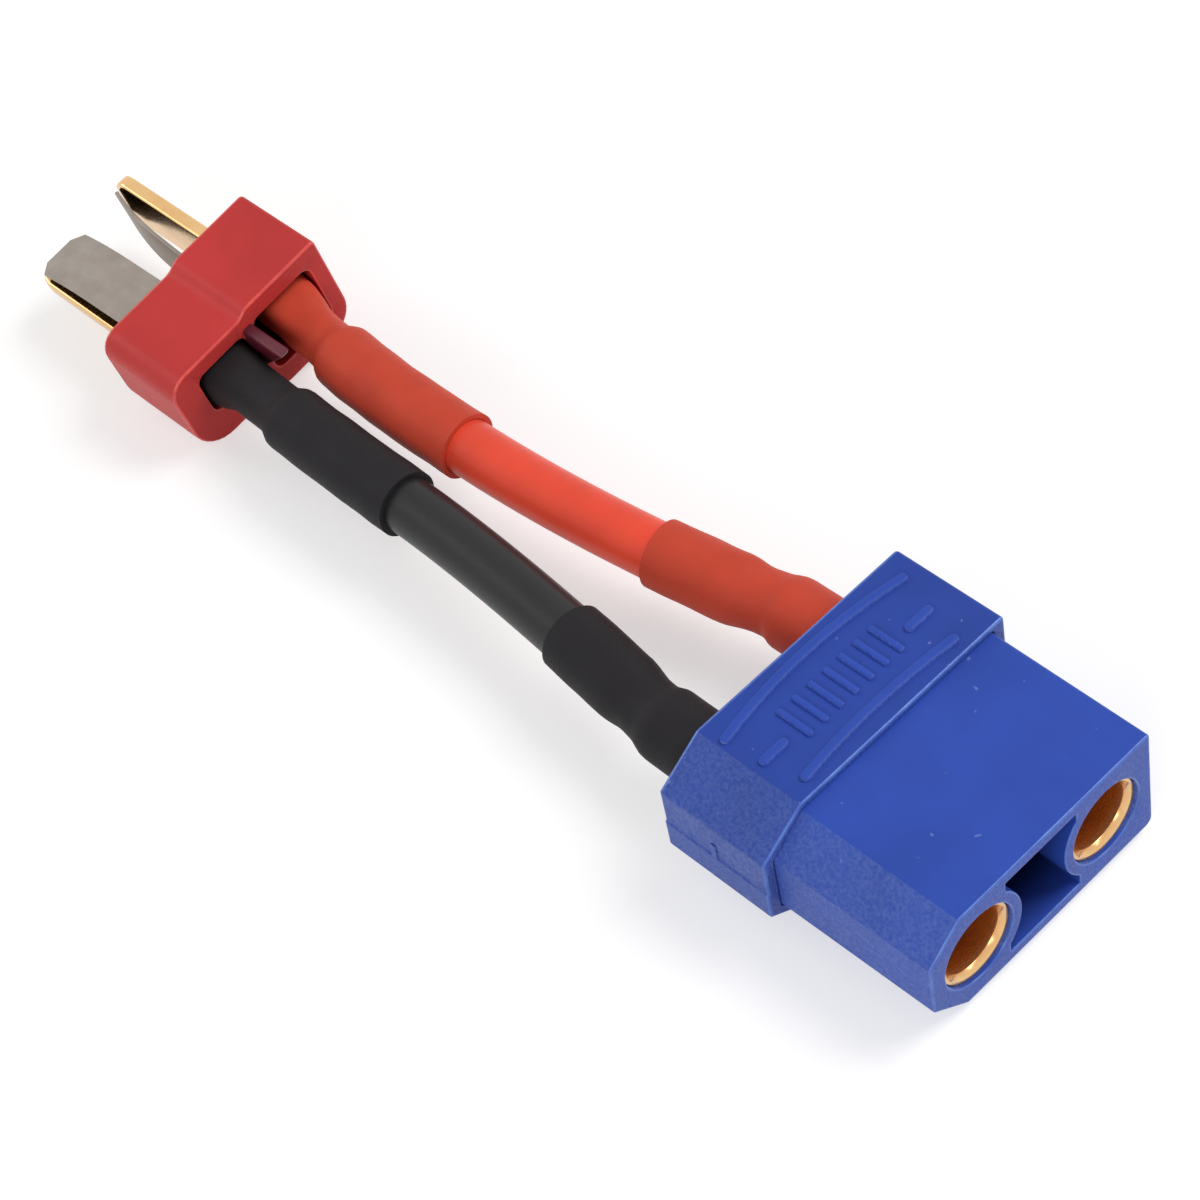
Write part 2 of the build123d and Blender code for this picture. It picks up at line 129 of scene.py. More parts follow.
NOSE_ROOM, NOSE_KEY_ROOM = 0.17, 0.03
CAP_SEAM = 0.1
SEAM_Z = -0.3
PLUG_WIDTH = 14.3
PLUG_LENGTH = 7.7
PLUG_FLOOR = 2.4
PLUG_TALL = 4.3
PLUG_LOW = 3.8
SLOT_FLOOR = 2.2
BARRIER_Y = -0.05
BARRIER_SIDE = 0.45
BARRIER_REACH = 4.15
BARRIER_HALF = 2.9
BARRIER_CUT_BACK = 5.8
BLADE_REACH = 11.6
BLADE_WIDTH = 4.7
BLADE_CORNER = 1.6
BLADE_BEVEL = 0.3
NECK_HALF = 2.05
TAB_HALF = 1.45
LEAF_TIP = -11.3
LEAF_TAIL = 0.5
LEAF_HALF = 2.05
LEAF_CLIP = 0.85
LEAF_LIFT = 0.05
LEAF_BEND_END = -5.0
LEAF_RISE = (0.3368, 0.02197)
LEAF_RUN = 0.06
LEAF_ROOM = 2.75

# Pockets of the plug for the lying and the upright tab: low and high Y, then low and high Z
POCKETS = (
    (-PLUG_WIDTH / 2 + 2.15, BARRIER_Y - BARRIER_SIDE, -1.25, PLUG_LOW - 1.3),
    (BARRIER_Y + BARRIER_SIDE, PLUG_WIDTH / 2 - 1.3, -2.6, PLUG_TALL - 1.5),
)
POCKET_CORNER = 0.7
POCKET_MOUTH = ((0, 0.12), (0.04, 0.04), (0.12, 0))
POCKET_FLOOR = ((0.25, 0.0), (0.07, 0.07), (0.0, 0.25))

# Sleeves over the tabs: half width, half height and squareness of the section by station on X.
# Width and height go on from the jacket's end, which differs between the leads.
TAB_SLEEVE_X = -56.9
TAB_SLEEVE_END = {"red": -34.6, "black": -34.4}
TAB_WIDTH = ((-57, 2.13), (-53.4, 2.1), (-50.4, 1.86))
TAB_HEIGHT = ((-57, 1.83), (-53.4, 1.95), (-50.4, 1.8))
TAB_SQUARE = ((-57, 4.2), (-53.4, 3.6), (-49.6, 2.0), (-30, 2.0))
JACKET_SLEEVE_R = 2.33
JACKET_BEFORE, JACKET_AFTER = 0.9, 0.5

# Sleeves over the cups: radius by station on X, and where a sleeve's centre passes to and from the lead
CUP_SLEEVE_X = {"red": -18.3, "black": -18.1}
CUP_SLEEVE_END = -3.1
CUP_SLEEVE_R = ((-19, 2.34), (-12.8, 2.34), (-10.7, 2.09), (-9.9, 2.12), (-8.6, 2.44), (-2, 2.47))
MID_X = -45
FROM_TAB, INTO_CUP = (-54.2, -50.6), (-11.6, -7.6)
SLEEVE_STEP = 0.35
SLEEVE_WOBBLE = 0.07

# Turned contacts: stations on X and radii
CONTACT_X = MATING_X - 0.3
BARREL_R = 2.80
COLLAR_FRONT, COLLAR_BACK, COLLAR_R = 1.2, -3.0, 3.15
CUP_R, CUP_BORE_R, CUP_BOTTOM = 2.10, 1.65, -0.2
BORE_R, GROOVE_R, BORE_END = 2.25, 2.31, 4.5
END_IN_R, END_OUT_R, END_BEVEL = 2.56, 2.74, 0.06
GROOVE = ((6.5, BORE_R), (6.6, GROOVE_R), (7.4, GROOVE_R), (7.5, BORE_R))

# Raised marks on the cap's top: (x, low y, high y, bow) of the bars, then dashes and ribs
MARK_Y = 1.0
MARK_HALF = 0.325
BARS = ((-2.3, -6.3, 8.9, 0.75), (3.1, -5.3, 7.3, 0.4))
DASH_X, DASH_Y, DASH_REACH = 0.5, 6.2, 0.8
RIBS, RIB_PITCH, RIB_X, RIB_REACH, RIB_HALF, RIB_POINT = 7, 1.3, 0.025, 1.3, 0.2, 0.08


# Shape helpers


def plug_matrix():
    """From the plug's own frame to the row frame, in millimetres."""
    return Matrix.Translation(PLUG_PLACE) @ Matrix.Rotation(math.radians(PLUG_ROLL), 4, "X")


def blade_matrix(upright):
    """From a lying blade's own frame to the row frame."""
    if upright:
        place = Matrix.Translation((0, UPRIGHT_Y, 0)) @ Matrix.Rotation(math.radians(90), 4, "X")
    else:
        place = Matrix.Translation((0, FLAT_Y, 0))
    return plug_matrix() @ place


def rounded(corners, radii, steps=6):
    """A closed counter-clockwise outline with each corner rounded by its own radius."""
    loop = []
    count = len(corners)
    for i, corner in enumerate(corners):
        here = Vector(corner)
        before = Vector(corners[i - 1])
        after = Vector(corners[(i + 1) % count])
        radius = radii[i]
        if radius <= 0:
            loop.append(tuple(here))
            continue
        a = (before - here).normalized()
        b = (after - here).normalized()
        half = a.angle(b) / 2
        reach = radius / math.tan(half)
        centre = here + (a + b).normalized() * radius / math.sin(half)
        start = here + a * reach - centre
        end = here + b * reach - centre
        turn = math.atan2(start.x * end.y - start.y * end.x, start.dot(end))
        for k in range(steps + 1):
            angle = turn * k / steps
            c, s = math.cos(angle), math.sin(angle)
            loop.append((centre.x + c * start.x - s * start.y, centre.y + s * start.x + c * start.y))
    return loop


def inset(loop, depth):
    """The outline moved inwards by a depth, point by point."""
    moved = []
    count = len(loop)
    for i in range(count):
        a, b, c = Vector(loop[i - 1]), Vector(loop[i]), Vector(loop[(i + 1) % count])
        n1 = Vector((-(b - a).y, (b - a).x))
        n2 = Vector((-(c - b).y, (c - b).x))
        if n1.length < 1e-9 or n2.length < 1e-9:
            n = (n1 if n1.length > n2.length else n2).normalized()
            moved.append(tuple(b + n * depth))
            continue
        n1.normalize()
        n2.normalize()
        n = (n1 + n2).normalized()
        moved.append(tuple(b + n * depth / max(n.dot(n1), 0.4)))
    return moved


def circle(y, z, radius, count=72):
    """A counter-clockwise circle in Y-Z."""
    turn = 2 * math.pi
    return [(y + radius * math.cos(turn * k / count), z + radius * math.sin(turn * k / count))
            for k in range(count)]


def ring(bm, x, loop):
    """Vertices of a Y-Z outline at a station on X."""
    return [bm.verts.new((x, y, z)) for y, z in loop]


def skin(bm, rows, material=0):
    """Quads between closed rows of equal length."""
    for near, far in zip(rows, rows[1:]):
        for i in range(len(near)):
            j = (i + 1) % len(near)
            face = bm.faces.new((near[i], near[j], far[j], far[i]))
            face.material_index = material


def lid(bm, rows, material=0):
    """A flat face that fills the space between an outer outline and the holes in it."""
    edges = []
    for row in rows:
        for i, vert in enumerate(row):
            other = row[(i + 1) % len(row)]
            edge = bm.edges.get((vert, other)) or bm.edges.new((vert, other))
            edges.append(edge)
    made = bmesh.ops.triangle_fill(bm, use_beauty=True, use_dissolve=False, edges=edges)
    for item in made["geom"]:
        if isinstance(item, bmesh.types.BMFace):
            item.material_index = material


def capped(bm, rows, material=0):
    """Rows joined by quads and closed at both ends."""
    skin(bm, rows, material)
    lid(bm, [rows[-1]], material)
    lid(bm, [rows[0]], material)


def edge_rows(bm, loop, face_x, radius, side):
    """Rows of a rounded edge from the end face at face_x to the body; side is +1 for a front face."""
    rows = []
    for k in range(EDGE_STEPS + 1):
        angle = math.pi / 2 * k / EDGE_STEPS
        depth = radius * (1 - math.sin(angle))
        back = radius * (1 - math.cos(angle))
        rows.append(ring(bm, face_x - side * back, inset(loop, depth)))
    return rows


def mark_edges(bm, ends):
    """Gives the narrow faces near the ends, which are their rounded edges, the second material, which paints
    a highlight on them.
    """
    for face in bm.faces:
        sides = sorted(edge.calc_length() for edge in face.edges)
        x = face.calc_center_median().x
        near = min(abs(x - end) for end in ends) < EDGE_REACH
        if near and len(sides) == 4 and sides[0] < EDGE_WIDEST:
            face.material_index = 1


def finish_piece(bm, name, finishes, replaced, body=ROOT, matrix=None, crease=40.0, flat=True):
    """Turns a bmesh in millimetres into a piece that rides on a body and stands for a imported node."""
    bmesh.ops.remove_doubles(bm, verts=bm.verts, dist=1e-5)
    if matrix is not None:
        bmesh.ops.transform(bm, matrix=matrix, verts=bm.verts)
    bmesh.ops.scale(bm, vec=(MM, MM, MM), verts=bm.verts)
    bmesh.ops.recalc_face_normals(bm, faces=bm.faces)
    mesh = bpy.data.meshes.new(name)
    bm.to_mesh(mesh)
    bm.free()
    piece = bpy.data.objects.new(name, mesh)
    bpy.context.collection.objects.link(piece)
    for finish in finishes:
        mesh.materials.append(kept(finish))
    mesh.polygons.foreach_set("use_smooth", [True] * len(mesh.polygons))
    mesh.set_sharp_from_angle(angle=math.radians(crease))
    if flat:
        weights = piece.modifiers.new("face_weights", "WEIGHTED_NORMAL")
        weights.keep_sharp = True
    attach(piece, body)
    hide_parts(replaced)


def spline_points(points, count):
    """The clamped quadratic curve through the route's control points, evenly by length."""
    control = [Vector(p) for p in points]
    spans = []
    start = control[0]
    for i in range(1, len(control) - 1):
        end = (control[i] + control[i + 1]) / 2 if i < len(control) - 2 else control[-1]
        spans.append((start, control[i], end))
        start = end
    dense = []
    for a, b, c in spans:
        for k in range(SPAN_STEPS):
            t = k / SPAN_STEPS
            dense.append(a * (1 - t) ** 2 + b * 2 * t * (1 - t) + c * t * t)
    dense.append(control[-1])
    return resample(dense, count)


def resample(dense, count):
    """Points at even distances along a dense line."""
    lengths = [0.0]
    for a, b in zip(dense, dense[1:]):
        lengths.append(lengths[-1] + (b - a).length)
    total = lengths[-1]
    out, i = [], 0
    for k in range(count):
        goal = total * k / (count - 1)
        while i < len(lengths) - 2 and lengths[i + 1] < goal:
            i += 1
        span = lengths[i + 1] - lengths[i]
        out.append(dense[i].lerp(dense[i + 1], (goal - lengths[i]) / span if span > 0 else 0))
    return out


# Material helpers


class Nodes:
    """Builds one procedural material, node by node."""

    def __init__(self, name):
        self.material = bpy.data.materials.new(name)
        self.material.use_nodes = True
        self.tree = self.material.node_tree
        self.tree.nodes.clear()
        self.out = self.tree.nodes.new("ShaderNodeOutputMaterial")
        self.shader = self.tree.nodes.new("ShaderNodeBsdfPrincipled")
        self.link(self.shader.outputs["BSDF"], self.out.inputs["Surface"])
        self.place = self.tree.nodes.new("ShaderNodeTexCoord").outputs["Object"]

    def link(self, a, b):
        self.tree.links.new(a, b)

    def put(self, value, socket):
        """Links a socket to the input, or sets it to a value; a plain colour gets its alpha."""
        if isinstance(value, bpy.types.NodeSocket):
            self.link(value, socket)
        elif socket.type == "RGBA":
            socket.default_value = (*value, 1.0)
        else:
            socket.default_value = value

    def node(self, kind, output, inputs, **options):
        """A node with its options and inputs set, as the output to read from it."""
        node = self.tree.nodes.new("ShaderNode" + kind)
        for key, value in options.items():
            setattr(node, key, value)
        for key, value in inputs.items():
            self.put(value, node.inputs[key])
        return node.outputs[output]

    def scaled(self, scale):
        return self.node("VectorMath", 0, {0: self.place, 1: scale}, operation="MULTIPLY")

    def noise(self, scale, detail=3.0, rough=0.55, place=None):
        return self.node("TexNoise", "Fac", {"Scale": scale, "Detail": detail, "Roughness": rough,
                                             "Vector": place or self.place})

    def fit(self, value, low, high, to_low=0.0, to_high=1.0):
        return self.node("MapRange", "Result", {"Value": value, "From Min": low, "From Max": high,
                                                "To Min": to_low, "To Max": to_high})

    def calc(self, kind, a, b):
        return self.node("Math", 0, {0: a, 1: b}, operation=kind)

    def mix(self, amount, a, b):
        return self.node("Mix", "Result", {"Factor": amount, "A": a, "B": b}, data_type="RGBA")

    def axis(self, which, place=None):
        return self.node("SeparateXYZ", which, {0: place or self.place})

    def normal(self, which):
        return self.axis(which, self.node("NewGeometry", "Normal", {}))

    def bump(self, height, distance):
        return self.node("Bump", "Normal", {"Strength": 1.0, "Distance": distance, "Height": height})

    def done(self, colour, rough, normal, **constants):
        self.put(colour, self.shader.inputs["Base Color"])
        self.put(rough, self.shader.inputs["Roughness"])
        self.link(normal, self.shader.inputs["Normal"])
        for key, value in constants.items():
            self.shader.inputs[key.replace("_", " ")].default_value = value
        return self.material


def settings():
    """The values of the sidebar's panel."""
    return bpy.context.scene.adapter_looks


def dyed(which, gain=1.0):
    """A colour from the settings, lighter or darker by a gain."""
    return tuple(gain * c for c in getattr(settings(), which + "_colour"))


def darker(colour, share):
    """A colour times a share."""
    return tinted(colour, (share, share, share))


def tinted(colour, shares):
    """A colour times a share for each channel."""
    return tuple(c * share for c, share in zip(colour, shares))


def moulded(name, colour, gloss, grain, specks, sheen):
    """Moulded plastic: fine grain, faint flow marks, small pale specks and a painted pale sheen on the sides,
    broken up by grain.
    Specks show where a noise is above their level, so a higher level leaves fewer."""
    n = Nodes(name)
    pale = tuple(min(1.0, c + rise) for c, rise in zip(colour, (0.18, 0.21, 0.16)))
    flow = n.noise(160.0, 2.0)
    fine = n.noise(5200.0, 2.0, 0.6)
    grit = n.noise(4300.0, 2.0, 0.6)
    base = n.mix(n.fit(flow, 0.35, 0.65), colour, darker(colour, 0.86))
    side = n.fit(n.normal("Z"), 0.75, 0.97, 1.0, 0.0)
    # Painted sheen: faces that lean away from the top are made paler, broken up by grit
    side_sheen = n.calc("MULTIPLY", side, n.fit(grit, 0.35, 0.68, sheen * 0.4, sheen * 1.6))
    base = n.mix(side_sheen, base, pale)
    speck = n.fit(n.noise(1500.0, 1.0, 0.4), specks, specks + 0.03, 0.0, 0.5)
    base = n.mix(speck, base, pale)
    uneven = n.calc("ADD", n.fit(fine, 0.3, 0.7, -0.04, 0.06), n.calc("MULTIPLY", side, 0.12))
    rough = n.calc("ADD", gloss, uneven)
    height = n.calc("MULTIPLY", n.calc("ADD", grit, fine), n.fit(side, 0.0, 1.0, 0.25, 1.0))
    return n.done(base, rough, n.bump(height, grain), Specular_IOR_Level=0.2)


def edge_highlight(name, colour, shade):
    """Rounded moulding edges: painted paler as a painted highlight, and smoother than the faces beside them.
    """
    n = Nodes(name)
    highlight_patches = n.noise(700.0, 3.0, 0.6)
    base = n.mix(n.fit(highlight_patches, 0.35, 0.65), colour, shade)
    return n.done(base, n.fit(highlight_patches, 0.3, 0.7, 0.2, 0.34), n.bump(highlight_patches, 0.000006), Specular_IOR_Level=0.45)


def blue_edge(name):
    """The painted highlight on the housing's edges and the cap's."""
    r, g, b = dyed("housing")
    return edge_highlight(name, (r + 0.05, g + 0.11, b + 0.16), (r + 0.01, g + 0.03, b + 0.05))


def red_edge(name):
    """The painted highlight on the plug's edges."""
    r, g, b = dyed("plug")
    return edge_highlight(name, (r * 1.35, g + 0.05, b + 0.035), (r * 1.1, g + 0.01, b + 0.008))


def painted_depth_shade(name, colour, front_x, deep_x):
    """The inside of a moulded hollow, with painted shade that goes dark with depth along X, in metres."""
    n = Nodes(name)
    flow = n.noise(900.0, 2.0)
    depth = n.fit(n.axis("X"), deep_x, front_x)
    near = n.mix(n.fit(flow, 0.35, 0.65), colour, darker(colour, 0.86))
    # Painted shade: the colour falls to a tenth towards the deep end
    base = n.mix(depth, darker(colour, 0.10), near)
    return n.done(base, n.fit(flow, 0.3, 0.7, 0.38, 0.5), n.bump(flow, 0.00001), Specular_IOR_Level=0.2)


def fin_plastic(name):
    """The barrier between the pockets: the same moulding, painted dark maroon as painted shade between the
    leads.
    """
    n = Nodes(name)
    flow = n.noise(400.0, 2.0)
    base = n.mix(n.fit(flow, 0.35, 0.65), (0.13, 0.014, 0.028), (0.085, 0.012, 0.024))
    return n.done(base, n.fit(flow, 0.3, 0.7, 0.3, 0.42), n.bump(flow, 0.00001), Specular_IOR_Level=0.4)


def gold(name):
    """Bright plated strip with faint lines across it and warm tarnish."""
    n = Nodes(name)
    c = dyed("gold")
    cloud = n.noise(500.0, 3.0)
    lines = n.noise(900.0, 2.0, 0.6, n.scaled((14.0, 1.0, 1.0)))
    base = n.mix(n.fit(cloud, 0.35, 0.7, 0.0, 0.6), c, tinted(c, (0.86, 0.76, 0.6)))
    rough = n.fit(lines, 0.3, 0.7, 0.09, 0.20)
    return n.done(base, rough, n.bump(lines, 0.000003), Metallic=1.0)


def bore_gold(name):
    """The same plating on turned parts: rougher behind the mouth than at it, and painted a darker orange
    there as painted shade inside the bore.
    """
    n = Nodes(name)
    c = dyed("gold")
    cloud = n.noise(500.0, 3.0)
    lines = n.noise(1200.0, 2.0, 0.6, n.scaled((12.0, 1.0, 1.0)))
    mouth = n.fit(n.axis("X"), 0.0146, 0.0154)
    # Painted shade: a darker orange for the bore behind the mouth
    deep = tinted(c, (0.86, 0.44, 0.16))
    base = n.mix(n.calc("MULTIPLY", mouth, n.fit(cloud, 0.3, 0.7, 0.8, 1.0)), deep, c)
    rough = n.calc("SUBTRACT", n.fit(lines, 0.3, 0.7, 0.24, 0.34), n.calc("MULTIPLY", mouth, 0.12))
    return n.done(base, rough, n.bump(lines, 0.000002), Metallic=0.75)


def spring_metal(name):
    """Plain rolled strip: dull, with fine lines along it."""
    n = Nodes(name)
    lines = n.noise(1400.0, 3.0, 0.6, n.scaled((0.08, 1.0, 1.0)))
    blotch = n.noise(420.0, 3.0)
    base = n.mix(n.fit(blotch, 0.3, 0.7), (0.27, 0.232, 0.202), (0.34, 0.300, 0.264))
    rough = n.fit(lines, 0.3, 0.7, 0.46, 0.62)
    return n.done(base, rough, n.bump(lines, 0.000008), Metallic=0.85)


def spring_back(name):
    """The strip's underside, painted dark as painted shade under the leaf."""
    n = Nodes(name)
    blotch = n.noise(420.0, 3.0)
    base = n.mix(n.fit(blotch, 0.3, 0.7), (0.030, 0.022, 0.015), (0.050, 0.040, 0.028))
    return n.done(base, n.fit(blotch, 0.3, 0.7, 0.5, 0.65), n.bump(blotch, 0.000004), Metallic=0.5)


def silicone(name, colour, rough):
    """Soft lead jacket: smooth, waxy, with a slight long grain."""
    n = Nodes(name)
    wave = n.noise(220.0, 2.0)
    fine = n.noise(3800.0, 2.0)
    base = n.mix(n.fit(wave, 0.3, 0.7), colour, darker(colour, 0.86))
    height = n.calc("ADD", wave, n.fit(fine, 0.0, 1.0, 0.0, 0.25))
    return n.done(base, n.fit(fine, 0.3, 0.7, rough - 0.04, rough + 0.05), n.bump(height, 0.00003),
                  Specular_IOR_Level=0.28)


def shrunk(name, colour, rough):
    """Shrink sleeve: matt skin with long soft ridges and pinprick grain."""
    n = Nodes(name)
    ridge = n.noise(420.0, 2.0, 0.5, n.scaled((0.12, 1.0, 1.0)))
    pores = n.noise(6000.0, 2.0, 0.6)
    patch = n.noise(300.0, 2.0)
    base = n.mix(n.fit(patch, 0.3, 0.7), colour, darker(colour, 0.88))
    height = n.calc("ADD", ridge, n.fit(pores, 0.0, 1.0, 0.0, 0.3))
    return n.done(base, n.fit(pores, 0.3, 0.7, rough - 0.05, rough + 0.06), n.bump(height, 0.00005),
                  Specular_IOR_Level=0.12)


def copper(name):
    """Fine tinned copper strands laid along the lead."""
    n = Nodes(name)
    lay = n.noise(2600.0, 1.0, 0.4, n.scaled((0.15, 1.0, 1.0)))
    base = n.mix(n.fit(lay, 0.35, 0.65), (0.62, 0.33, 0.20), (0.80, 0.62, 0.50))
    return n.done(base, n.fit(lay, 0.3, 0.7, 0.25, 0.4), n.bump(lay, 0.00006), Metallic=1.0)


def solder(name):
    """Flowed solder: bright grey with dull crystal patches."""
    n = Nodes(name)
    patch = n.noise(1100.0, 3.0)
    base = n.mix(n.fit(patch, 0.4, 0.6), (0.66, 0.66, 0.68), (0.48, 0.48, 0.50))
    return n.done(base, n.fit(patch, 0.3, 0.7, 0.22, 0.5), n.bump(patch, 0.00002), Metallic=1.0)


def floor_material(name):
    """Plain white table: the camera and mirrors see it whiter, with its shadow kept."""
    n = Nodes(name)
    grain = n.noise(90.0, 2.0)
    cloud = n.fit(grain, 0.3, 0.7)
    n.put(n.mix(cloud, (0.80, 0.80, 0.80), (0.82, 0.815, 0.815)), n.shader.inputs["Base Color"])
    n.shader.inputs["Roughness"].default_value = 0.8
    n.shader.inputs["Specular IOR Level"].default_value = 0.1
    dim = n.tree.nodes.new("ShaderNodeBsdfDiffuse")
    n.put(n.mix(cloud, (0.63, 0.62, 0.615), (0.64, 0.63, 0.625)), dim.inputs["Color"])
    glow = n.tree.nodes.new("ShaderNodeEmission")
    glow.inputs["Strength"].default_value = 0.52
    seen = n.tree.nodes.new("ShaderNodeAddShader")
    n.link(dim.outputs[0], seen.inputs[0])
    n.link(glow.outputs[0], seen.inputs[1])
    by_ray(n.tree, n.shader, seen, n.out)
    return n.material


def seen_rays(tree):
    """One for the rays that show the background: from the camera, in mirrors and through glass."""
    path = tree.nodes.new("ShaderNodeLightPath")
    total = path.outputs["Is Camera Ray"]
    for kind in ("Is Glossy Ray", "Is Transmission Ray"):
        larger = tree.nodes.new("ShaderNodeMath")
        larger.operation = "MAXIMUM"
        tree.links.new(total, larger.inputs[0])
        tree.links.new(path.outputs[kind], larger.inputs[1])
        total = larger.outputs[0]
    return total


def by_ray(tree, around, seen, out):
    """Shows one shader to the rays that show the background, and the other to the rest."""
    pick = tree.nodes.new("ShaderNodeMixShader")
    tree.links.new(seen_rays(tree), pick.inputs["Fac"])
    tree.links.new(around.outputs[0], pick.inputs[1])
    tree.links.new(seen.outputs[0], pick.inputs[2])
    tree.links.new(pick.outputs[0], out.inputs["Surface"])


FINISHES = {
    "blue_plastic": lambda name: moulded(name, dyed("housing"), 0.36, 0.000014, 0.775, 0.22),
    "cap_plastic": lambda name: moulded(name, dyed("housing", 0.84), 0.36, 0.000014, 0.775, 0.26),
    "blue_edge": blue_edge,
    # Painted shade inside the recess, darker with depth
    "recess_plastic": lambda name: painted_depth_shade(name, dyed("housing"), 0.0158, 0.0118),
    "red_plastic": lambda name: moulded(name, dyed("plug"), 0.32, 0.000008, 0.80, 0.02),
    "red_edge": red_edge,
    # Painted shade inside the pockets, darker with depth
    "pocket_plastic": lambda name: painted_depth_shade(name, dyed("plug"), -0.0527, -0.0548),
    "fin_plastic": fin_plastic,
    "gold_plate": gold,
    "bore_gold": bore_gold,
    "spring_metal": spring_metal,
    "spring_back": spring_back,
    "red_silicone": lambda name: silicone(name, dyed("lead"), 0.36),
    "black_silicone": lambda name: silicone(name, (0.019, 0.019, 0.020), 0.36),
    "red_sleeve": lambda name: shrunk(name, dyed("sleeve"), 0.52),
    "black_sleeve": lambda name: shrunk(name, (0.021, 0.019, 0.021), 0.58),
    "copper": copper,
    "solder": solder,
    "table": floor_material,
}


def kept(finish):
    """A material that is made once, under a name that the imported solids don't use."""
    name = finish + "_finish"
    return bpy.data.materials.get(name) or FINISHES[finish](name)


# Operators


class ADAPTER_OT_stage(bpy.types.Operator):
    """Camera, white table and soft studio light"""

    bl_idname = "adapter.stage"
    bl_label = "Stage"

    def execute(self, context):
        camera = bpy.data.cameras.new("camera")
        camera.lens = CAMERA_LENS
        camera.sensor_width = SENSOR
        camera.clip_start, camera.clip_end = CLIP_START, CLIP_END
        view = bpy.data.objects.new("camera", camera)
        right, up, back = Vector(CAMERA_RIGHT), Vector(CAMERA_UP), Vector(CAMERA_BACK)
        view.matrix_world = Matrix.Translation(CAMERA_PLACE) @ Matrix((right, up, back)).transposed().to_4x4()
        context.collection.objects.link(view)
        context.scene.camera = view
        context.scene.view_settings.view_transform = "Standard"

        bm = bmesh.new()
        for x, y in ((-1, -1), (1, -1), (1, 1), (-1, 1)):
            bm.verts.new((x * TABLE_HALF, y * TABLE_HALF, 0.0))
        bm.faces.new(bm.verts)
        mesh = bpy.data.meshes.new("table")
        bm.to_mesh(mesh)
        bm.free()
        table = bpy.data.objects.new("table", mesh)
        mesh.materials.append(kept("table"))
        context.collection.objects.link(table)

        for name, place, size, power in LAMPS:
            light = bpy.data.lights.new(name, "AREA")
            light.shape = "RECTANGLE"
            light.size, light.size_y = size
            light.energy = power * settings().light
            lamp = bpy.data.objects.new(name, light)
            lamp.location = place
            lamp.rotation_euler = (Vector(LAMP_TARGET) - Vector(place)).to_track_quat("-Z", "Y").to_euler()
            context.collection.objects.link(lamp)
        self.backdrop(context)
        return {"FINISHED"}

    def backdrop(self, context):
        """White where the camera looks past the table, plain grey light elsewhere."""
        world = bpy.data.worlds.new("backdrop")
        context.scene.world = world
        world.use_nodes = True
        tree = world.node_tree
        tree.nodes.clear()
        out = tree.nodes.new("ShaderNodeOutputWorld")
        seen = tree.nodes.new("ShaderNodeBackground")
        seen.inputs["Color"].default_value = (1.0, 1.0, 1.0, 1.0)
        seen.inputs["Strength"].default_value = 1.0
        around = tree.nodes.new("ShaderNodeBackground")
        around.inputs["Color"].default_value = (0.95, 0.97, 1.0, 1.0)
        around.inputs["Strength"].default_value = settings().ambient
        by_ray(tree, around, seen, out)


class Lead:
    """One lead's centreline and the blade and cup that it joins."""

    def __init__(self, side):
        self.side = side
        self.colour = "red" if side > 0 else "black"
        self.route = RED_ROUTE if side > 0 else BLACK_ROUTE
        self.blade = blade_matrix(side > 0)
        self.line = [p / MM for p in spline_points(self.route, LINE_POINTS)]
        first, second = Vector(self.route[0]) / MM, Vector(self.route[1]) / MM
        before, last = Vector(self.route[-2]) / MM, Vector(self.route[-1]) / MM
        self.start, self.start_run = first, (second - first) / (second.x - first.x)
        self.end, self.end_run = last, (last - before) / (last.x - before.x)

    def on_lead(self, x):
        """The lead's centre at station x, with its end runs drawn on beyond the jacket."""
        if x <= self.start.x:
            return self.start + self.start_run * (x - self.start.x)
        if x >= self.end.x:
            return self.end + self.end_run * (x - self.end.x)
        for a, b in zip(self.line, self.line[1:]):
            if b.x >= x:
                return a.lerp(b, (x - a.x) / (b.x - a.x))
        return self.line[-1]

    def on_tab(self, x):
        """The centre of the soldered tab and strands at station x."""
        origin = self.blade @ Vector((0, 0, GROUP_T))
        return Vector((x, origin.y, origin.z))

    def in_cup(self, x):
        """The centre of the cup at station x."""
        return Vector((x, self.side * PITCH / 2, AXIS_Z))

    def centre(self, x):
        """The sleeve's centre at station x: tab, then lead, then cup."""
        if x < MID_X:
            return self.on_tab(x).lerp(self.on_lead(x), smooth(x, *FROM_TAB))
        return self.on_lead(x).lerp(self.in_cup(x), smooth(x, *INTO_CUP))


def smooth(x, low, high):
    """A soft step from 0 at low to 1 at high."""
    t = min(1.0, max(0.0, (x - low) / (high - low)))
    return t * t * (3 - 2 * t)


def ramp(x, table):
    """A smooth curve through (x, value) pairs."""
    for (x0, v0), (x1, v1) in zip(table, table[1:]):
        if x <= x1:
            return v0 + (v1 - v0) * smooth(x, x0, x1)
    return table[-1][1]


def oval(half_width, half_height, square, count=64):
    """A section between an ellipse, at square 2, and a soft-cornered oblong."""
    points = []
    for k in range(count):
        angle = 2 * math.pi * k / count
        c, s = math.cos(angle), math.sin(angle)
        points.append((half_width * math.copysign(abs(c) ** (2 / square), c),
                       half_height * math.copysign(abs(s) ** (2 / square), s)))
    return points


def section_at(bm, lead, x, points, seed):
    """A row of vertices across the lead at station x, made slightly uneven."""
    centre = lead.centre(x)
    along = (lead.centre(x + 0.05) - lead.centre(x - 0.05)).normalized()
    across = lead.blade.to_3x3() @ Vector((0, 1, 0))
    across = (across - along * across.dot(along)).normalized()
    up = along.cross(across)
    row = []
    for u, v in points:
        place = centre + across * u + up * v
        swell = noise.noise(place * 0.45 + Vector((seed, 0, 0)))
        reach = 1 + SLEEVE_WOBBLE * swell / max(0.5, math.hypot(u, v))
        row.append(bm.verts.new(centre + (across * u + up * v) * reach))
    return row


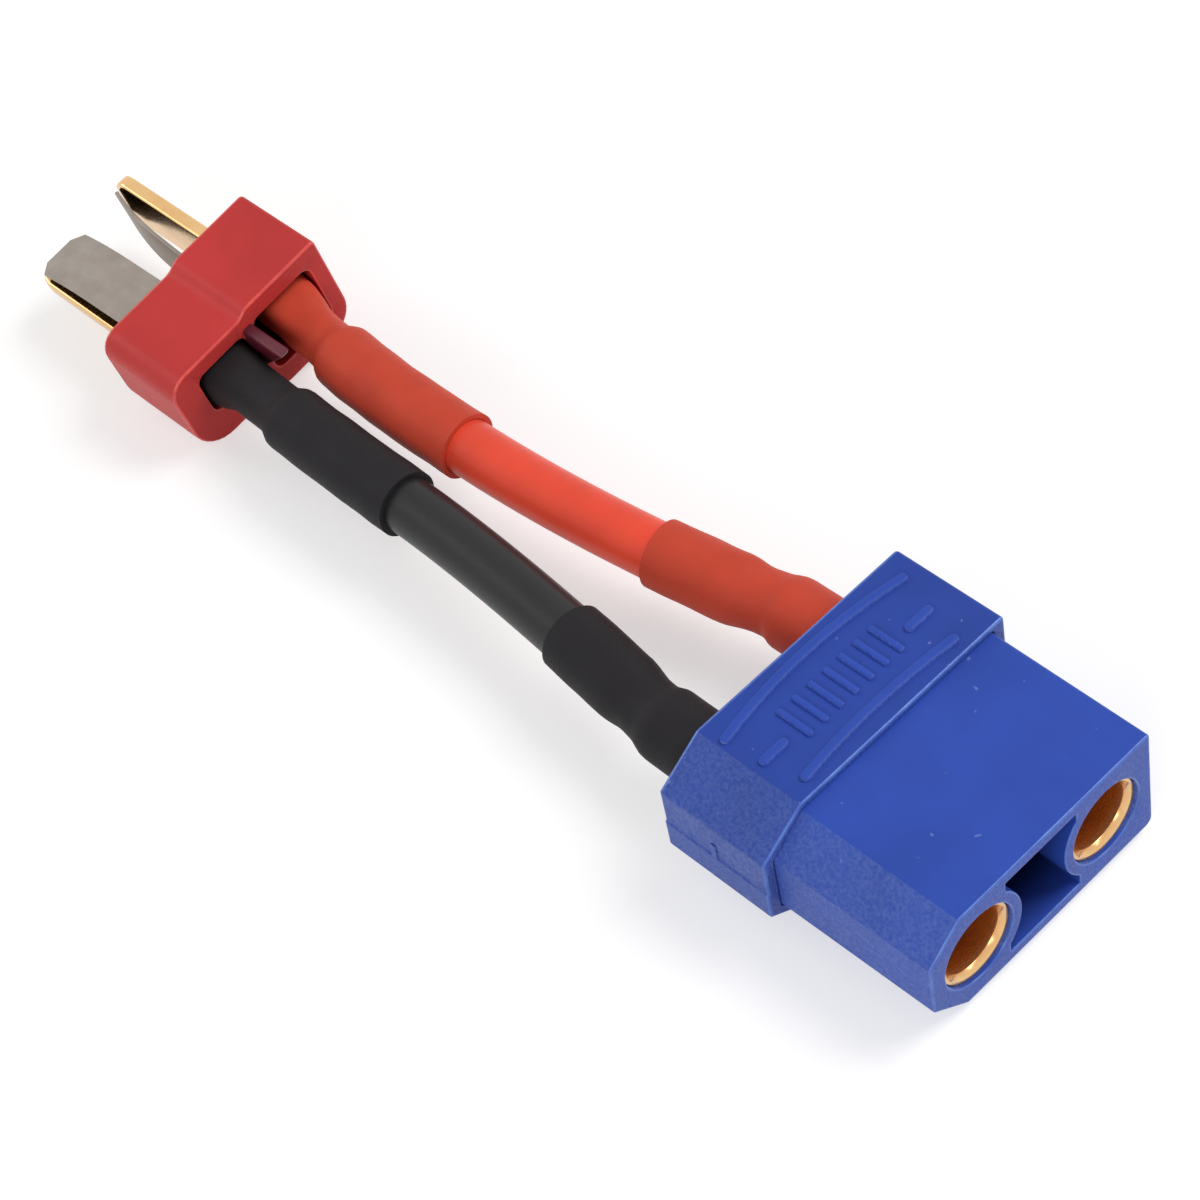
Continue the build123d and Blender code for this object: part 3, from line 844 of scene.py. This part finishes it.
def sleeve(lead, start, end, outer, ending, node, seed):
    """A thin shrink sleeve: an outer skin, two cut ends and a bore."""
    bm = bmesh.new()
    wall = settings().sleeve_wall / MM
    stations = end_stations(start, end, SLEEVE_STEP)
    rows = [section_at(bm, lead, x, outer(x, 0.0), seed) for x in stations]
    inner = [section_at(bm, lead, x, outer(x, wall), seed) for x in reversed(stations)]
    skin(bm, rows + inner + rows[:1])
    finish = lead.colour + "_sleeve"
    finish_piece(bm, lead.colour + ending, [finish], lead.colour + node, crease=55, flat=False)


def spread(low, high, step):
    """Even stations from low to high, about a step apart."""
    count = max(2, round((high - low) / step) + 1)
    return [low + (high - low) * k / (count - 1) for k in range(count)]


def end_stations(low, high, step, edge=0.06):
    """Stations with a close pair at each end, so that a cut end stays crisp."""
    return [low, low + edge] + spread(low + 3 * edge, high - 3 * edge, step) + [high - edge, high]


class ADAPTER_OT_leads(bpy.types.Operator):
    """The two silicone leads as round tubes along their routes"""

    bl_idname = "adapter.leads"
    bl_label = "Leads"

    def execute(self, context):
        for side in (1, -1):
            lead = Lead(side)
            jacket = lead.colour + "_silicone"
            curve = bpy.data.curves.new(lead.colour + "_lead", "CURVE")
            curve.dimensions = "3D"
            curve.bevel_depth = LEAD_R * MM
            curve.bevel_resolution = 12
            curve.resolution_u = 24
            curve.use_fill_caps = True
            line = curve.splines.new("NURBS")
            line.points.add(len(lead.route) - 1)
            for point, place in zip(line.points, lead.route):
                point.co = (*place, 1.0)
            line.order_u = 3
            line.use_endpoint_u = True
            piece = bpy.data.objects.new(lead.colour + "_lead", curve)
            curve.materials.append(kept(jacket))
            context.collection.objects.link(piece)
            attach(piece, ROOT)
            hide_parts(lead.colour + "_wire_insulation")
        return {"FINISHED"}


class ADAPTER_OT_sleeves(bpy.types.Operator):
    """Four shrink sleeves: flattened over the tabs, necked behind the cups"""

    bl_idname = "adapter.sleeves"
    bl_label = "Sleeves"

    def execute(self, context):
        for side in (1, -1):
            lead = Lead(side)
            self.at_plug(lead)
            self.at_cup(lead)
        return {"FINISHED"}

    def at_plug(self, lead):
        neck, full = lead.start.x - JACKET_BEFORE, lead.start.x + JACKET_AFTER
        on_jacket = ((full, JACKET_SLEEVE_R), (-30, JACKET_SLEEVE_R))
        width = (*TAB_WIDTH, (neck, TAB_WIDTH[-1][1]), *on_jacket)
        height = (*TAB_HEIGHT, (neck, TAB_HEIGHT[-1][1]), *on_jacket)

        def outer(x, inward):
            return oval(ramp(x, width) - inward, ramp(x, height) - inward, ramp(x, TAB_SQUARE))

        end = TAB_SLEEVE_END[lead.colour]
        sleeve(lead, TAB_SLEEVE_X, end, outer, "_tab_sleeve", "_plug_sleeve", 3.0 * lead.side)

    def at_cup(self, lead):
        def outer(x, inward):
            radius = ramp(x, CUP_SLEEVE_R) - inward
            return oval(radius, radius, 2.0)

        start = CUP_SLEEVE_X[lead.colour]
        sleeve(lead, start, CUP_SLEEVE_END, outer, "_cup_sleeve", "_socket_sleeve", 7.0 * lead.side)


def keyed(half_width, half_height, key_y, key_z, top_radius, bottom_radius, key_radius=0.12, seam=0.0):
    """Section across X: square on the positive side, chamfered on the negative one, where a seam may run."""
    w, h = half_width, half_height
    corners = [(-w + key_y, -h), (w, -h), (w, h), (-w + key_y, h), (-w + seam, h - key_z), (-w, -h + key_z)]
    radii = [key_radius, bottom_radius, top_radius, key_radius, key_radius, key_radius]
    if seam:
        corners[5:5] = [(-w + seam, SEAM_Z + seam / 2), (-w, SEAM_Z - seam / 2)]
        radii[5:5] = [0.0, 0.0]
    return [(y, z + AXIS_Z) for y, z in rounded(corners, radii)]


def recess_loop(grow=0.0):
    """The space between the two bosses, seen from the front, grown by a distance."""
    half, boss = RECESS_WIDTH / 2, BOSS_RADIUS
    low = AXIS_Z - NOSE_HEIGHT / 2 + RECESS_WALL
    high = AXIS_Z + NOSE_HEIGHT / 2 - RECESS_WALL
    loop = []
    for side in (1, -1):
        centre = side * PITCH / 2
        limit = math.acos((PITCH / 2 - half) / boss)
        arc = [(centre - side * boss * math.cos(a), AXIS_Z + side * boss * math.sin(a))
               for a in spread(-limit, limit, 0.1)]
        corners = [(side * half, low if side > 0 else high), (side * half, high if side > 0 else low)]
        loop += [corners[0]] + arc + [corners[1]]
    return inset(loop, -grow) if grow else loop


def mouth_rows(bm, outline):
    """Rows of a rounded mouth in the mating face, of an outline that can be grown."""
    rows = []
    for k in range(MOUTH_STEPS + 1):
        angle = math.pi / 2 * k / MOUTH_STEPS
        grow = MOUTH_EDGE * (1 - math.sin(angle))
        rows.append(ring(bm, MATING_X - MOUTH_EDGE * (1 - math.cos(angle)), outline(grow)))
    return rows


class ADAPTER_OT_nose(bpy.types.Operator):
    """The blue nose with its two bosses and the recess between"""

    bl_idname = "adapter.nose"
    bl_label = "Socket nose"

    def execute(self, context):
        bm = bmesh.new()
        loop = keyed(NOSE_WIDTH / 2, NOSE_HEIGHT / 2, NOSE_KEY_Y, NOSE_KEY_Z, 0.22, 0.6)
        front = edge_rows(bm, loop, MATING_X, NOSE_EDGE, 1)
        middle = [ring(bm, x, inset(loop, -NOSE_DRAFT * (MATING_X - x) / NOSE_LENGTH))
                  for x in (CAP_FRONT, CAP_FRONT - 0.2)]
        back = ring(bm, CAP_BACK + CAP_WALL, loop)
        skin(bm, front + middle + [back])
        holes, tails = [], []
        for side in (1, -1):
            y = side * PITCH / 2
            mouth = mouth_rows(bm, lambda grow, y=y: circle(y, AXIS_Z, HOLE_R + grow))
            end = ring(bm, CAP_BACK + CAP_WALL, circle(y, AXIS_Z, HOLE_R))
            skin(bm, mouth + [end])
            holes.append(mouth[0])
            tails.append(end)
        mouth = mouth_rows(bm, recess_loop)
        floor = ring(bm, MATING_X - RECESS_DEPTH, recess_loop())
        # The recess takes the third material, with painted shade that darkens with depth
        skin(bm, mouth + [floor], 2)
        lid(bm, [floor], 2)
        lid(bm, [front[0], mouth[0]] + holes)
        lid(bm, [back] + tails)
        mark_edges(bm, [MATING_X])
        finish_piece(bm, "nose_shell", ["blue_plastic", "blue_edge", "recess_plastic"], "socket_housing",
                     crease=32)
        return {"FINISHED"}


def raised(bm, outline):
    """A raised mark on the cap's top: an outline seen from above, with a rounded rim."""
    face = AXIS_Z + CAP_HEIGHT / 2
    top = face + settings().mark_height / MM
    rows = []
    for z, depth in ((face - 0.1, 0.0), (top - 0.1, 0.0), (top - 0.03, 0.03), (top, 0.1)):
        rows.append([bm.verts.new((x, y, z)) for x, y in inset(outline, depth)])
    # The marks take the cap's third material, the nose's lighter plastic, as a painted highlight on the
    # raised lines
    capped(bm, rows, 2)


def bar_outline(x, low, high, bow):
    """A bowed bar with round ends, seen from above and counter-clockwise."""
    half = MARK_HALF
    middle, reach = (low + high) / 2, (high - low) / 2

    def at(y):
        return x - bow * (1 - ((y - middle) / reach) ** 2)

    def end(y, turn):
        return [(at(y) + half * math.cos(a), y + half * math.sin(a))
                for a in spread(turn + 0.3, turn + math.pi - 0.3, 0.4)]

    ys = spread(low, high, 0.4)
    right = [(at(y) + half, y) for y in ys]
    left = [(at(y) - half, y) for y in reversed(ys)]
    return right + end(high, 0.0) + left + end(low, math.pi)


class ADAPTER_OT_cap(bpy.types.Operator):
    """The blue rear cap with its raised lines"""

    bl_idname = "adapter.cap"
    bl_label = "Rear cap"

    def execute(self, context):
        bm = bmesh.new()
        loop = keyed(CAP_WIDTH / 2, CAP_HEIGHT / 2, CAP_KEY_Y, CAP_KEY_Z, 0.28, 0.8, 0.2, CAP_SEAM)
        inner = keyed(NOSE_WIDTH / 2 + NOSE_ROOM, NOSE_HEIGHT / 2 + NOSE_ROOM, NOSE_KEY_Y + NOSE_KEY_ROOM,
                      NOSE_KEY_Z + NOSE_KEY_ROOM, 0.2, 0.6)
        back = edge_rows(bm, loop, CAP_BACK, 0.25, -1)
        front = edge_rows(bm, loop, CAP_FRONT, 0.16, 1)
        skin(bm, back + front[::-1])
        mouth = ring(bm, CAP_FRONT, inset(inner, -CAP_MOUTH_EDGE))
        step = ring(bm, CAP_BACK + CAP_WALL, inner)
        skin(bm, [mouth, ring(bm, CAP_FRONT - CAP_MOUTH_EDGE, inner), step])
        lid(bm, [front[0], mouth])
        near, far = [], []
        for side in (1, -1):
            y = side * PITCH / 2
            far.append(ring(bm, CAP_BACK, circle(y, AXIS_Z, CAP_HOLE_R + CAP_HOLE_EDGE)))
            lip = ring(bm, CAP_BACK + CAP_HOLE_EDGE, circle(y, AXIS_Z, CAP_HOLE_R))
            near.append(ring(bm, CAP_BACK + CAP_WALL, circle(y, AXIS_Z, CAP_HOLE_R)))
            skin(bm, [far[-1], lip, near[-1]])
        lid(bm, [back[0]] + far)
        lid(bm, [step] + near)
        mark_edges(bm, [CAP_FRONT, CAP_BACK])
        self.side_mark(bm)
        self.marks(bm)
        finish_piece(bm, "cap_shell", ["cap_plastic", "blue_edge", "blue_plastic"], "socket_rear_cap",
                     crease=32)
        return {"FINISHED"}

    def side_mark(self, bm):
        """A small upright mark on the seam of the chamfered side."""
        face = -CAP_WIDTH / 2
        stub = oblong(-0.2, 0.2, SEAM_Z, SEAM_Z + 1.3, 0.06, 3)
        capped(bm, [[bm.verts.new((x, face + back, z + AXIS_Z)) for x, z in inset(stub, depth)]
                    for back, depth in ((0.2, 0.0), (0.02, 0.0), (0.0, 0.04))])

    def marks(self, bm):
        """The raised lines on top: two bowed bars, a dash at each end and plain ribs between."""
        for bar in BARS:
            raised(bm, bar_outline(*bar))
        for side in (-1, 1):
            y = side * DASH_Y + MARK_Y
            raised(bm, bar_outline(DASH_X, y - DASH_REACH, y + DASH_REACH, 0.0))
        low, high = RIB_X - RIB_REACH, RIB_X + RIB_REACH
        for k in range(RIBS):
            y = (k - (RIBS - 1) / 2) * RIB_PITCH + MARK_Y
            near, far = y - RIB_HALF, y + RIB_HALF
            raised(bm, [(high, near), (high + RIB_POINT, y), (high, far),
                        (low, far), (low - RIB_POINT, y), (low, near)])


class ADAPTER_OT_contacts(bpy.types.Operator):
    """Two turned sockets with solder cups"""

    bl_idname = "adapter.contacts"
    bl_label = "Socket contacts"

    def execute(self, context):
        front = CONTACT_X
        profile = (
            (front, END_IN_R), (front, END_OUT_R), (front - END_BEVEL, BARREL_R), (COLLAR_FRONT, BARREL_R),
            (COLLAR_FRONT, COLLAR_R - 0.05), (COLLAR_FRONT - 0.08, COLLAR_R), (COLLAR_BACK + 0.08, COLLAR_R),
            (COLLAR_BACK, COLLAR_R - 0.05), (COLLAR_BACK, CUP_R), (CUP_END_X + 0.08, CUP_R),
            (CUP_END_X, CUP_R - 0.06), (CUP_END_X, CUP_BORE_R + 0.05), (CUP_END_X + 0.06, CUP_BORE_R),
            (CUP_BOTTOM, CUP_BORE_R), (CUP_BOTTOM, 0.0), (BORE_END, 0.0), (BORE_END, BORE_R), *GROOVE,
            (front - 0.42, BORE_R), (front - 0.34, BORE_R + 0.03), (front - 0.05, END_IN_R - 0.05),
        )
        for side, name in ((1, "positive"), (-1, "negative")):
            bm = bmesh.new()
            y = side * PITCH / 2
            rows = []
            for x, radius in profile:
                if radius > 0:
                    rows.append(ring(bm, x, circle(y, AXIS_Z, radius, 96)))
                else:
                    rows.append([bm.verts.new((x, y, AXIS_Z))])
            for near, far in zip(rows, rows[1:] + rows[:1]):
                if len(near) > 1 and len(far) > 1:
                    skin(bm, [near, far])
                elif len(near) + len(far) > 2:
                    loop, tip = max(near, far, key=len), min(near, far, key=len)[0]
                    for a, b in zip(loop, loop[1:] + loop[:1]):
                        bm.faces.new((a, b, tip))
            # The sockets take the plating with painted shade inside the bore
            finish_piece(bm, name + "_bullet_socket", ["bore_gold"], name + "_socket_contact",
                         crease=30)
        return {"FINISHED"}


def plug_loop():
    """Section of the plug: square tall side, rounded low side, soft step between."""
    half = PLUG_WIDTH / 2
    corners = [(-0.3, -PLUG_LOW), (0.5, -PLUG_TALL), (half, -PLUG_TALL), (half, PLUG_TALL), (0.5, PLUG_TALL),
               (-0.3, PLUG_LOW), (-half, PLUG_LOW), (-half, -PLUG_LOW)]
    return rounded(corners, [1.3, 1.3, 2.2, 0.35, 1.3, 1.3, 1.6, 2.6], 8)


def oblong(y0, y1, z0, z1, radius, steps=5):
    """A rounded rectangle."""
    return rounded([(y0, z0), (y1, z0), (y1, z1), (y0, z1)], [radius] * 4, steps)


class ADAPTER_OT_plug(bpy.types.Operator):
    """The red moulded blade plug with its soldering pockets and barrier"""

    bl_idname = "adapter.plug"
    bl_label = "Blade plug"

    def execute(self, context):
        bm = bmesh.new()
        loop = plug_loop()
        front = edge_rows(bm, loop, 0.0, 0.3, -1)
        back = edge_rows(bm, loop, PLUG_LENGTH, 0.16, 1)
        skin(bm, front + back[::-1])
        mouths = []
        for box in POCKETS:
            pocket = oblong(*box, POCKET_CORNER)
            mouth = [ring(bm, PLUG_LENGTH - set_in, inset(pocket, -grow)) for set_in, grow in POCKET_MOUTH]
            deep = [ring(bm, PLUG_FLOOR + rise, inset(pocket, depth)) for rise, depth in POCKET_FLOOR]
            # The pockets take the fourth material, with painted shade that darkens with depth
            skin(bm, mouth + deep, 3)
            mouths.append(mouth[0])
            lid(bm, [deep[-1]], 3)
        lid(bm, [back[0]] + mouths)
        slots = []
        for slot_loop in self.slots():
            rim = ring(bm, 0.0, slot_loop)
            end = ring(bm, SLOT_FLOOR, slot_loop)
            skin(bm, [rim, end])
            lid(bm, [end])
            slots.append(rim)
        lid(bm, [front[0]] + slots)
        mark_edges(bm, [0.0, PLUG_LENGTH])
        self.barrier(bm)
        finish_piece(bm, "plug_shell", ["red_plastic", "red_edge", "fin_plastic", "pocket_plastic"],
                     "blade_plug_housing", matrix=plug_matrix(), crease=35)
        return {"FINISHED"}

    def slots(self):
        """Front openings round each blade's neck and its leaf tail."""
        half, thick = LEAF_HALF + 0.1, BLADE_THICK / 2 + 0.03
        lying = [(-half, -thick), (half, -thick), (half, LEAF_ROOM), (-half, LEAF_ROOM)]
        flat = [(FLAT_Y + a, b) for a, b in lying]
        upright = [(UPRIGHT_Y - b, a) for a, b in lying]
        return flat, upright

    def barrier(self, bm):
        """The fin between the tabs, with its end cut back towards the bottom."""
        rows = []
        far = PLUG_LENGTH + BARRIER_REACH
        fin = oblong(BARRIER_Y - BARRIER_SIDE, BARRIER_Y + BARRIER_SIDE, -BARRIER_HALF, BARRIER_HALF, 0.25, 4)
        for x, depth in ((PLUG_FLOOR - 0.3, 0.0), (far - 0.3, 0.0), (far - 0.1, 0.06), (far, 0.22)):
            row = []
            for y, z in inset(fin, depth):
                cut = BARRIER_CUT_BACK * (BARRIER_HALF - z) / (2 * BARRIER_HALF)
                row.append(bm.verts.new((x if x < PLUG_FLOOR else x - cut, y, z)))
            rows.append(row)
        # The fin takes the third material, painted dark maroon as painted shade between the leads
        capped(bm, rows, 2)


class ADAPTER_OT_blades(bpy.types.Operator):
    """Two stamped blades, one flat and one upright"""

    bl_idname = "adapter.blades"
    bl_label = "Blades"

    def execute(self, context):
        for upright, name in ((False, "flat"), (True, "upright")):
            bm = bmesh.new()
            rows = []
            for x, wide, thick, drop in self.stations():
                corner = min(0.22, thick * 0.6)
                section = oblong(-wide, wide, -thick, thick, corner, 4)
                rows.append(ring(bm, x, [(y, z + drop) for y, z in section]))
            capped(bm, rows)
            finish_piece(bm, name + "_pin", ["gold_plate"], name + "_blade",
                         matrix=blade_matrix(upright), crease=30)
        return {"FINISHED"}

    def stations(self):
        """(x, half width, half thickness, drop) from the rounded tip to the joggled tab."""
        half, wide = BLADE_THICK / 2, BLADE_WIDTH / 2
        out = []
        for k in range(11):
            angle = math.pi / 2 * k / 10
            x = -BLADE_REACH + BLADE_CORNER * (1 - math.cos(angle))
            bevel = max(0.0, BLADE_BEVEL - (x + BLADE_REACH))
            out.append((x, wide - BLADE_CORNER * (1 - math.sin(angle)) - 0.02, half - bevel, 0.0))
        out += [(-0.01, wide - 0.02, half, 0.0), (0.0, wide - 0.1, half - 0.02, 0.0)]
        out += [(0.0, NECK_HALF, half, 0.0), (PLUG_FLOOR, NECK_HALF, half, 0.0)]
        out.append((PLUG_FLOOR, TAB_HALF, half, 0.0))
        for x in spread(PLUG_FLOOR + 0.1, PLUG_FLOOR + 1.0, 0.15):
            out.append((x, TAB_HALF, half, -JOGGLE * smooth(x, PLUG_FLOOR, PLUG_FLOOR + 1.0)))
        out += [(7.0, TAB_HALF, half, -JOGGLE), (7.35, 1.35, half, -JOGGLE), (7.5, 1.1, half - 0.05, -JOGGLE)]
        return out


class ADAPTER_OT_springs(bpy.types.Operator):
    """The bowed leaf spring on each blade"""

    bl_idname = "adapter.springs"
    bl_label = "Leaf springs"

    def execute(self, context):
        for upright, name in ((False, "flat"), (True, "upright")):
            bm = bmesh.new()
            rows = []
            for x in [LEAF_TIP, LEAF_TIP + LEAF_CLIP] + spread(LEAF_TIP + LEAF_CLIP + 0.3, LEAF_TAIL, 0.3):
                wide = LEAF_HALF - max(0.0, LEAF_CLIP - (x - LEAF_TIP))
                rows.append(self.row(bm, x, wide))
            capped(bm, rows)
            bmesh.ops.recalc_face_normals(bm, faces=bm.faces)
            # Downward faces take the second material, painted dark as painted shade under the leaf
            for face in bm.faces:
                face.material_index = 1 if face.normal.z < -0.8 else 0
            finish_piece(bm, name + "_leaf_spring", ["spring_metal", "spring_back"], name + "_blade_spring",
                         body=name + "_leaf", matrix=blade_matrix(upright))
        return {"FINISHED"}

    def thick(self):
        """The strip's thickness in millimetres."""
        return settings().leaf_thickness / MM

    def bow(self, x):
        """Height of the strip's middle over the blade's, and its slope: one bend, then a straight run."""
        first, second = LEAF_RISE
        bent = min(x, LEAF_BEND_END) - LEAF_TIP
        height = BLADE_THICK / 2 + LEAF_LIFT + self.thick() / 2 + first * bent - second * bent**2
        return height + LEAF_RUN * max(0.0, x - LEAF_BEND_END), first - 2 * second * bent

    def row(self, bm, x, wide):
        """A section across the strip, square to its bow."""
        height, slope = self.bow(x)
        lean = math.atan(slope)
        half = self.thick() / 2
        return [bm.verts.new((x - t * math.sin(lean), y, height + t * math.cos(lean)))
                for y, t in oblong(-wide, wide, -half, half, 0.06, 3)]


class ADAPTER_OT_joints(bpy.types.Operator):
    """Finishes for the hidden strands and solder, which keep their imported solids"""

    bl_idname = "adapter.joints"
    bl_label = "Strands and solder"

    def execute(self, context):
        for name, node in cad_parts.items():
            if node.hide_render:
                continue
            if name.endswith("_wire_strands"):
                finish = "copper"
            elif name.endswith("_solder"):
                finish = "solder"
            else:
                raise RuntimeError(name + " has no finish")
            node.data.materials.clear()
            node.data.materials.append(kept(finish))
        return {"FINISHED"}


# Settings and panel


class AdapterLooks(bpy.types.PropertyGroup):
    """Sizes and colours of the looks that a user may change"""

    mark_height: bpy.props.FloatProperty(
        name="Mark height", description="Height of the raised lines on the rear cap", unit="LENGTH",
        precision=5, default=0.00025, min=0.00015, max=0.00035)
    sleeve_wall: bpy.props.FloatProperty(
        name="Sleeve wall", description="Wall of the shrink sleeves", unit="LENGTH", precision=5,
        default=0.00035, min=0.0002, max=0.00035)
    leaf_thickness: bpy.props.FloatProperty(
        name="Leaf thickness", description="Thickness of the leaf springs", unit="LENGTH", precision=5,
        default=0.0003, min=0.0002, max=0.00035)
    housing_colour: bpy.props.FloatVectorProperty(
        name="Socket housing", description="Colour of the socket housing", subtype="COLOR",
        default=(0.031, 0.081, 0.45), min=0, max=1)
    plug_colour: bpy.props.FloatVectorProperty(
        name="Blade plug", description="Colour of the plug moulding", subtype="COLOR",
        default=(0.60, 0.043, 0.040), min=0, max=1)
    lead_colour: bpy.props.FloatVectorProperty(
        name="Positive lead", description="Colour of the positive lead's jacket", subtype="COLOR",
        default=(0.93, 0.085, 0.042), min=0, max=1)
    sleeve_colour: bpy.props.FloatVectorProperty(
        name="Positive sleeves", description="Colour of the positive lead's sleeves", subtype="COLOR",
        default=(0.65, 0.075, 0.040), min=0, max=1)
    gold_colour: bpy.props.FloatVectorProperty(
        name="Plating", description="Colour of the plated contacts", subtype="COLOR",
        default=(0.82, 0.53, 0.25), min=0, max=1)
    light: bpy.props.FloatProperty(
        name="Light", description="Strength of the studio lamps", default=1.0, min=0.1, max=4,
        subtype="FACTOR")
    ambient: bpy.props.FloatProperty(
        name="Ambient", description="Strength of the light from all round", default=0.32, min=0, max=2,
        subtype="FACTOR")


OPERATORS = (
    ADAPTER_OT_stage, ADAPTER_OT_leads, ADAPTER_OT_sleeves, ADAPTER_OT_nose, ADAPTER_OT_cap,
    ADAPTER_OT_contacts, ADAPTER_OT_plug, ADAPTER_OT_blades, ADAPTER_OT_springs, ADAPTER_OT_joints,
)


class ADAPTER_PT_panel(bpy.types.Panel):
    """The adapter's pieces, in the order in which they are built"""

    bl_label = "Battery Adapter"
    bl_idname = "ADAPTER_PT_panel"
    bl_space_type = "VIEW_3D"
    bl_region_type = "UI"
    bl_category = "Adapter"

    def draw(self, context):
        layout = self.layout
        for key in AdapterLooks.__annotations__:
            layout.prop(context.scene.adapter_looks, key)
        for operator in OPERATORS:
            layout.operator(operator.bl_idname)


CLASSES = (AdapterLooks,) + OPERATORS + (ADAPTER_PT_panel,)


def register():
    """Makes the classes and the settings known to Blender."""
    for cls in CLASSES:
        bpy.utils.register_class(cls)
    bpy.types.Scene.adapter_looks = bpy.props.PointerProperty(type=AdapterLooks)


def unregister():
    """Takes them out again."""
    del bpy.types.Scene.adapter_looks
    for cls in reversed(CLASSES):
        bpy.utils.unregister_class(cls)


def main():
    """Builds every piece."""
    register()
    for operator in OPERATORS:
        group, name = operator.bl_idname.split(".")
        getattr(getattr(bpy.ops, group), name)()


if __name__ == "__main__":
    main()
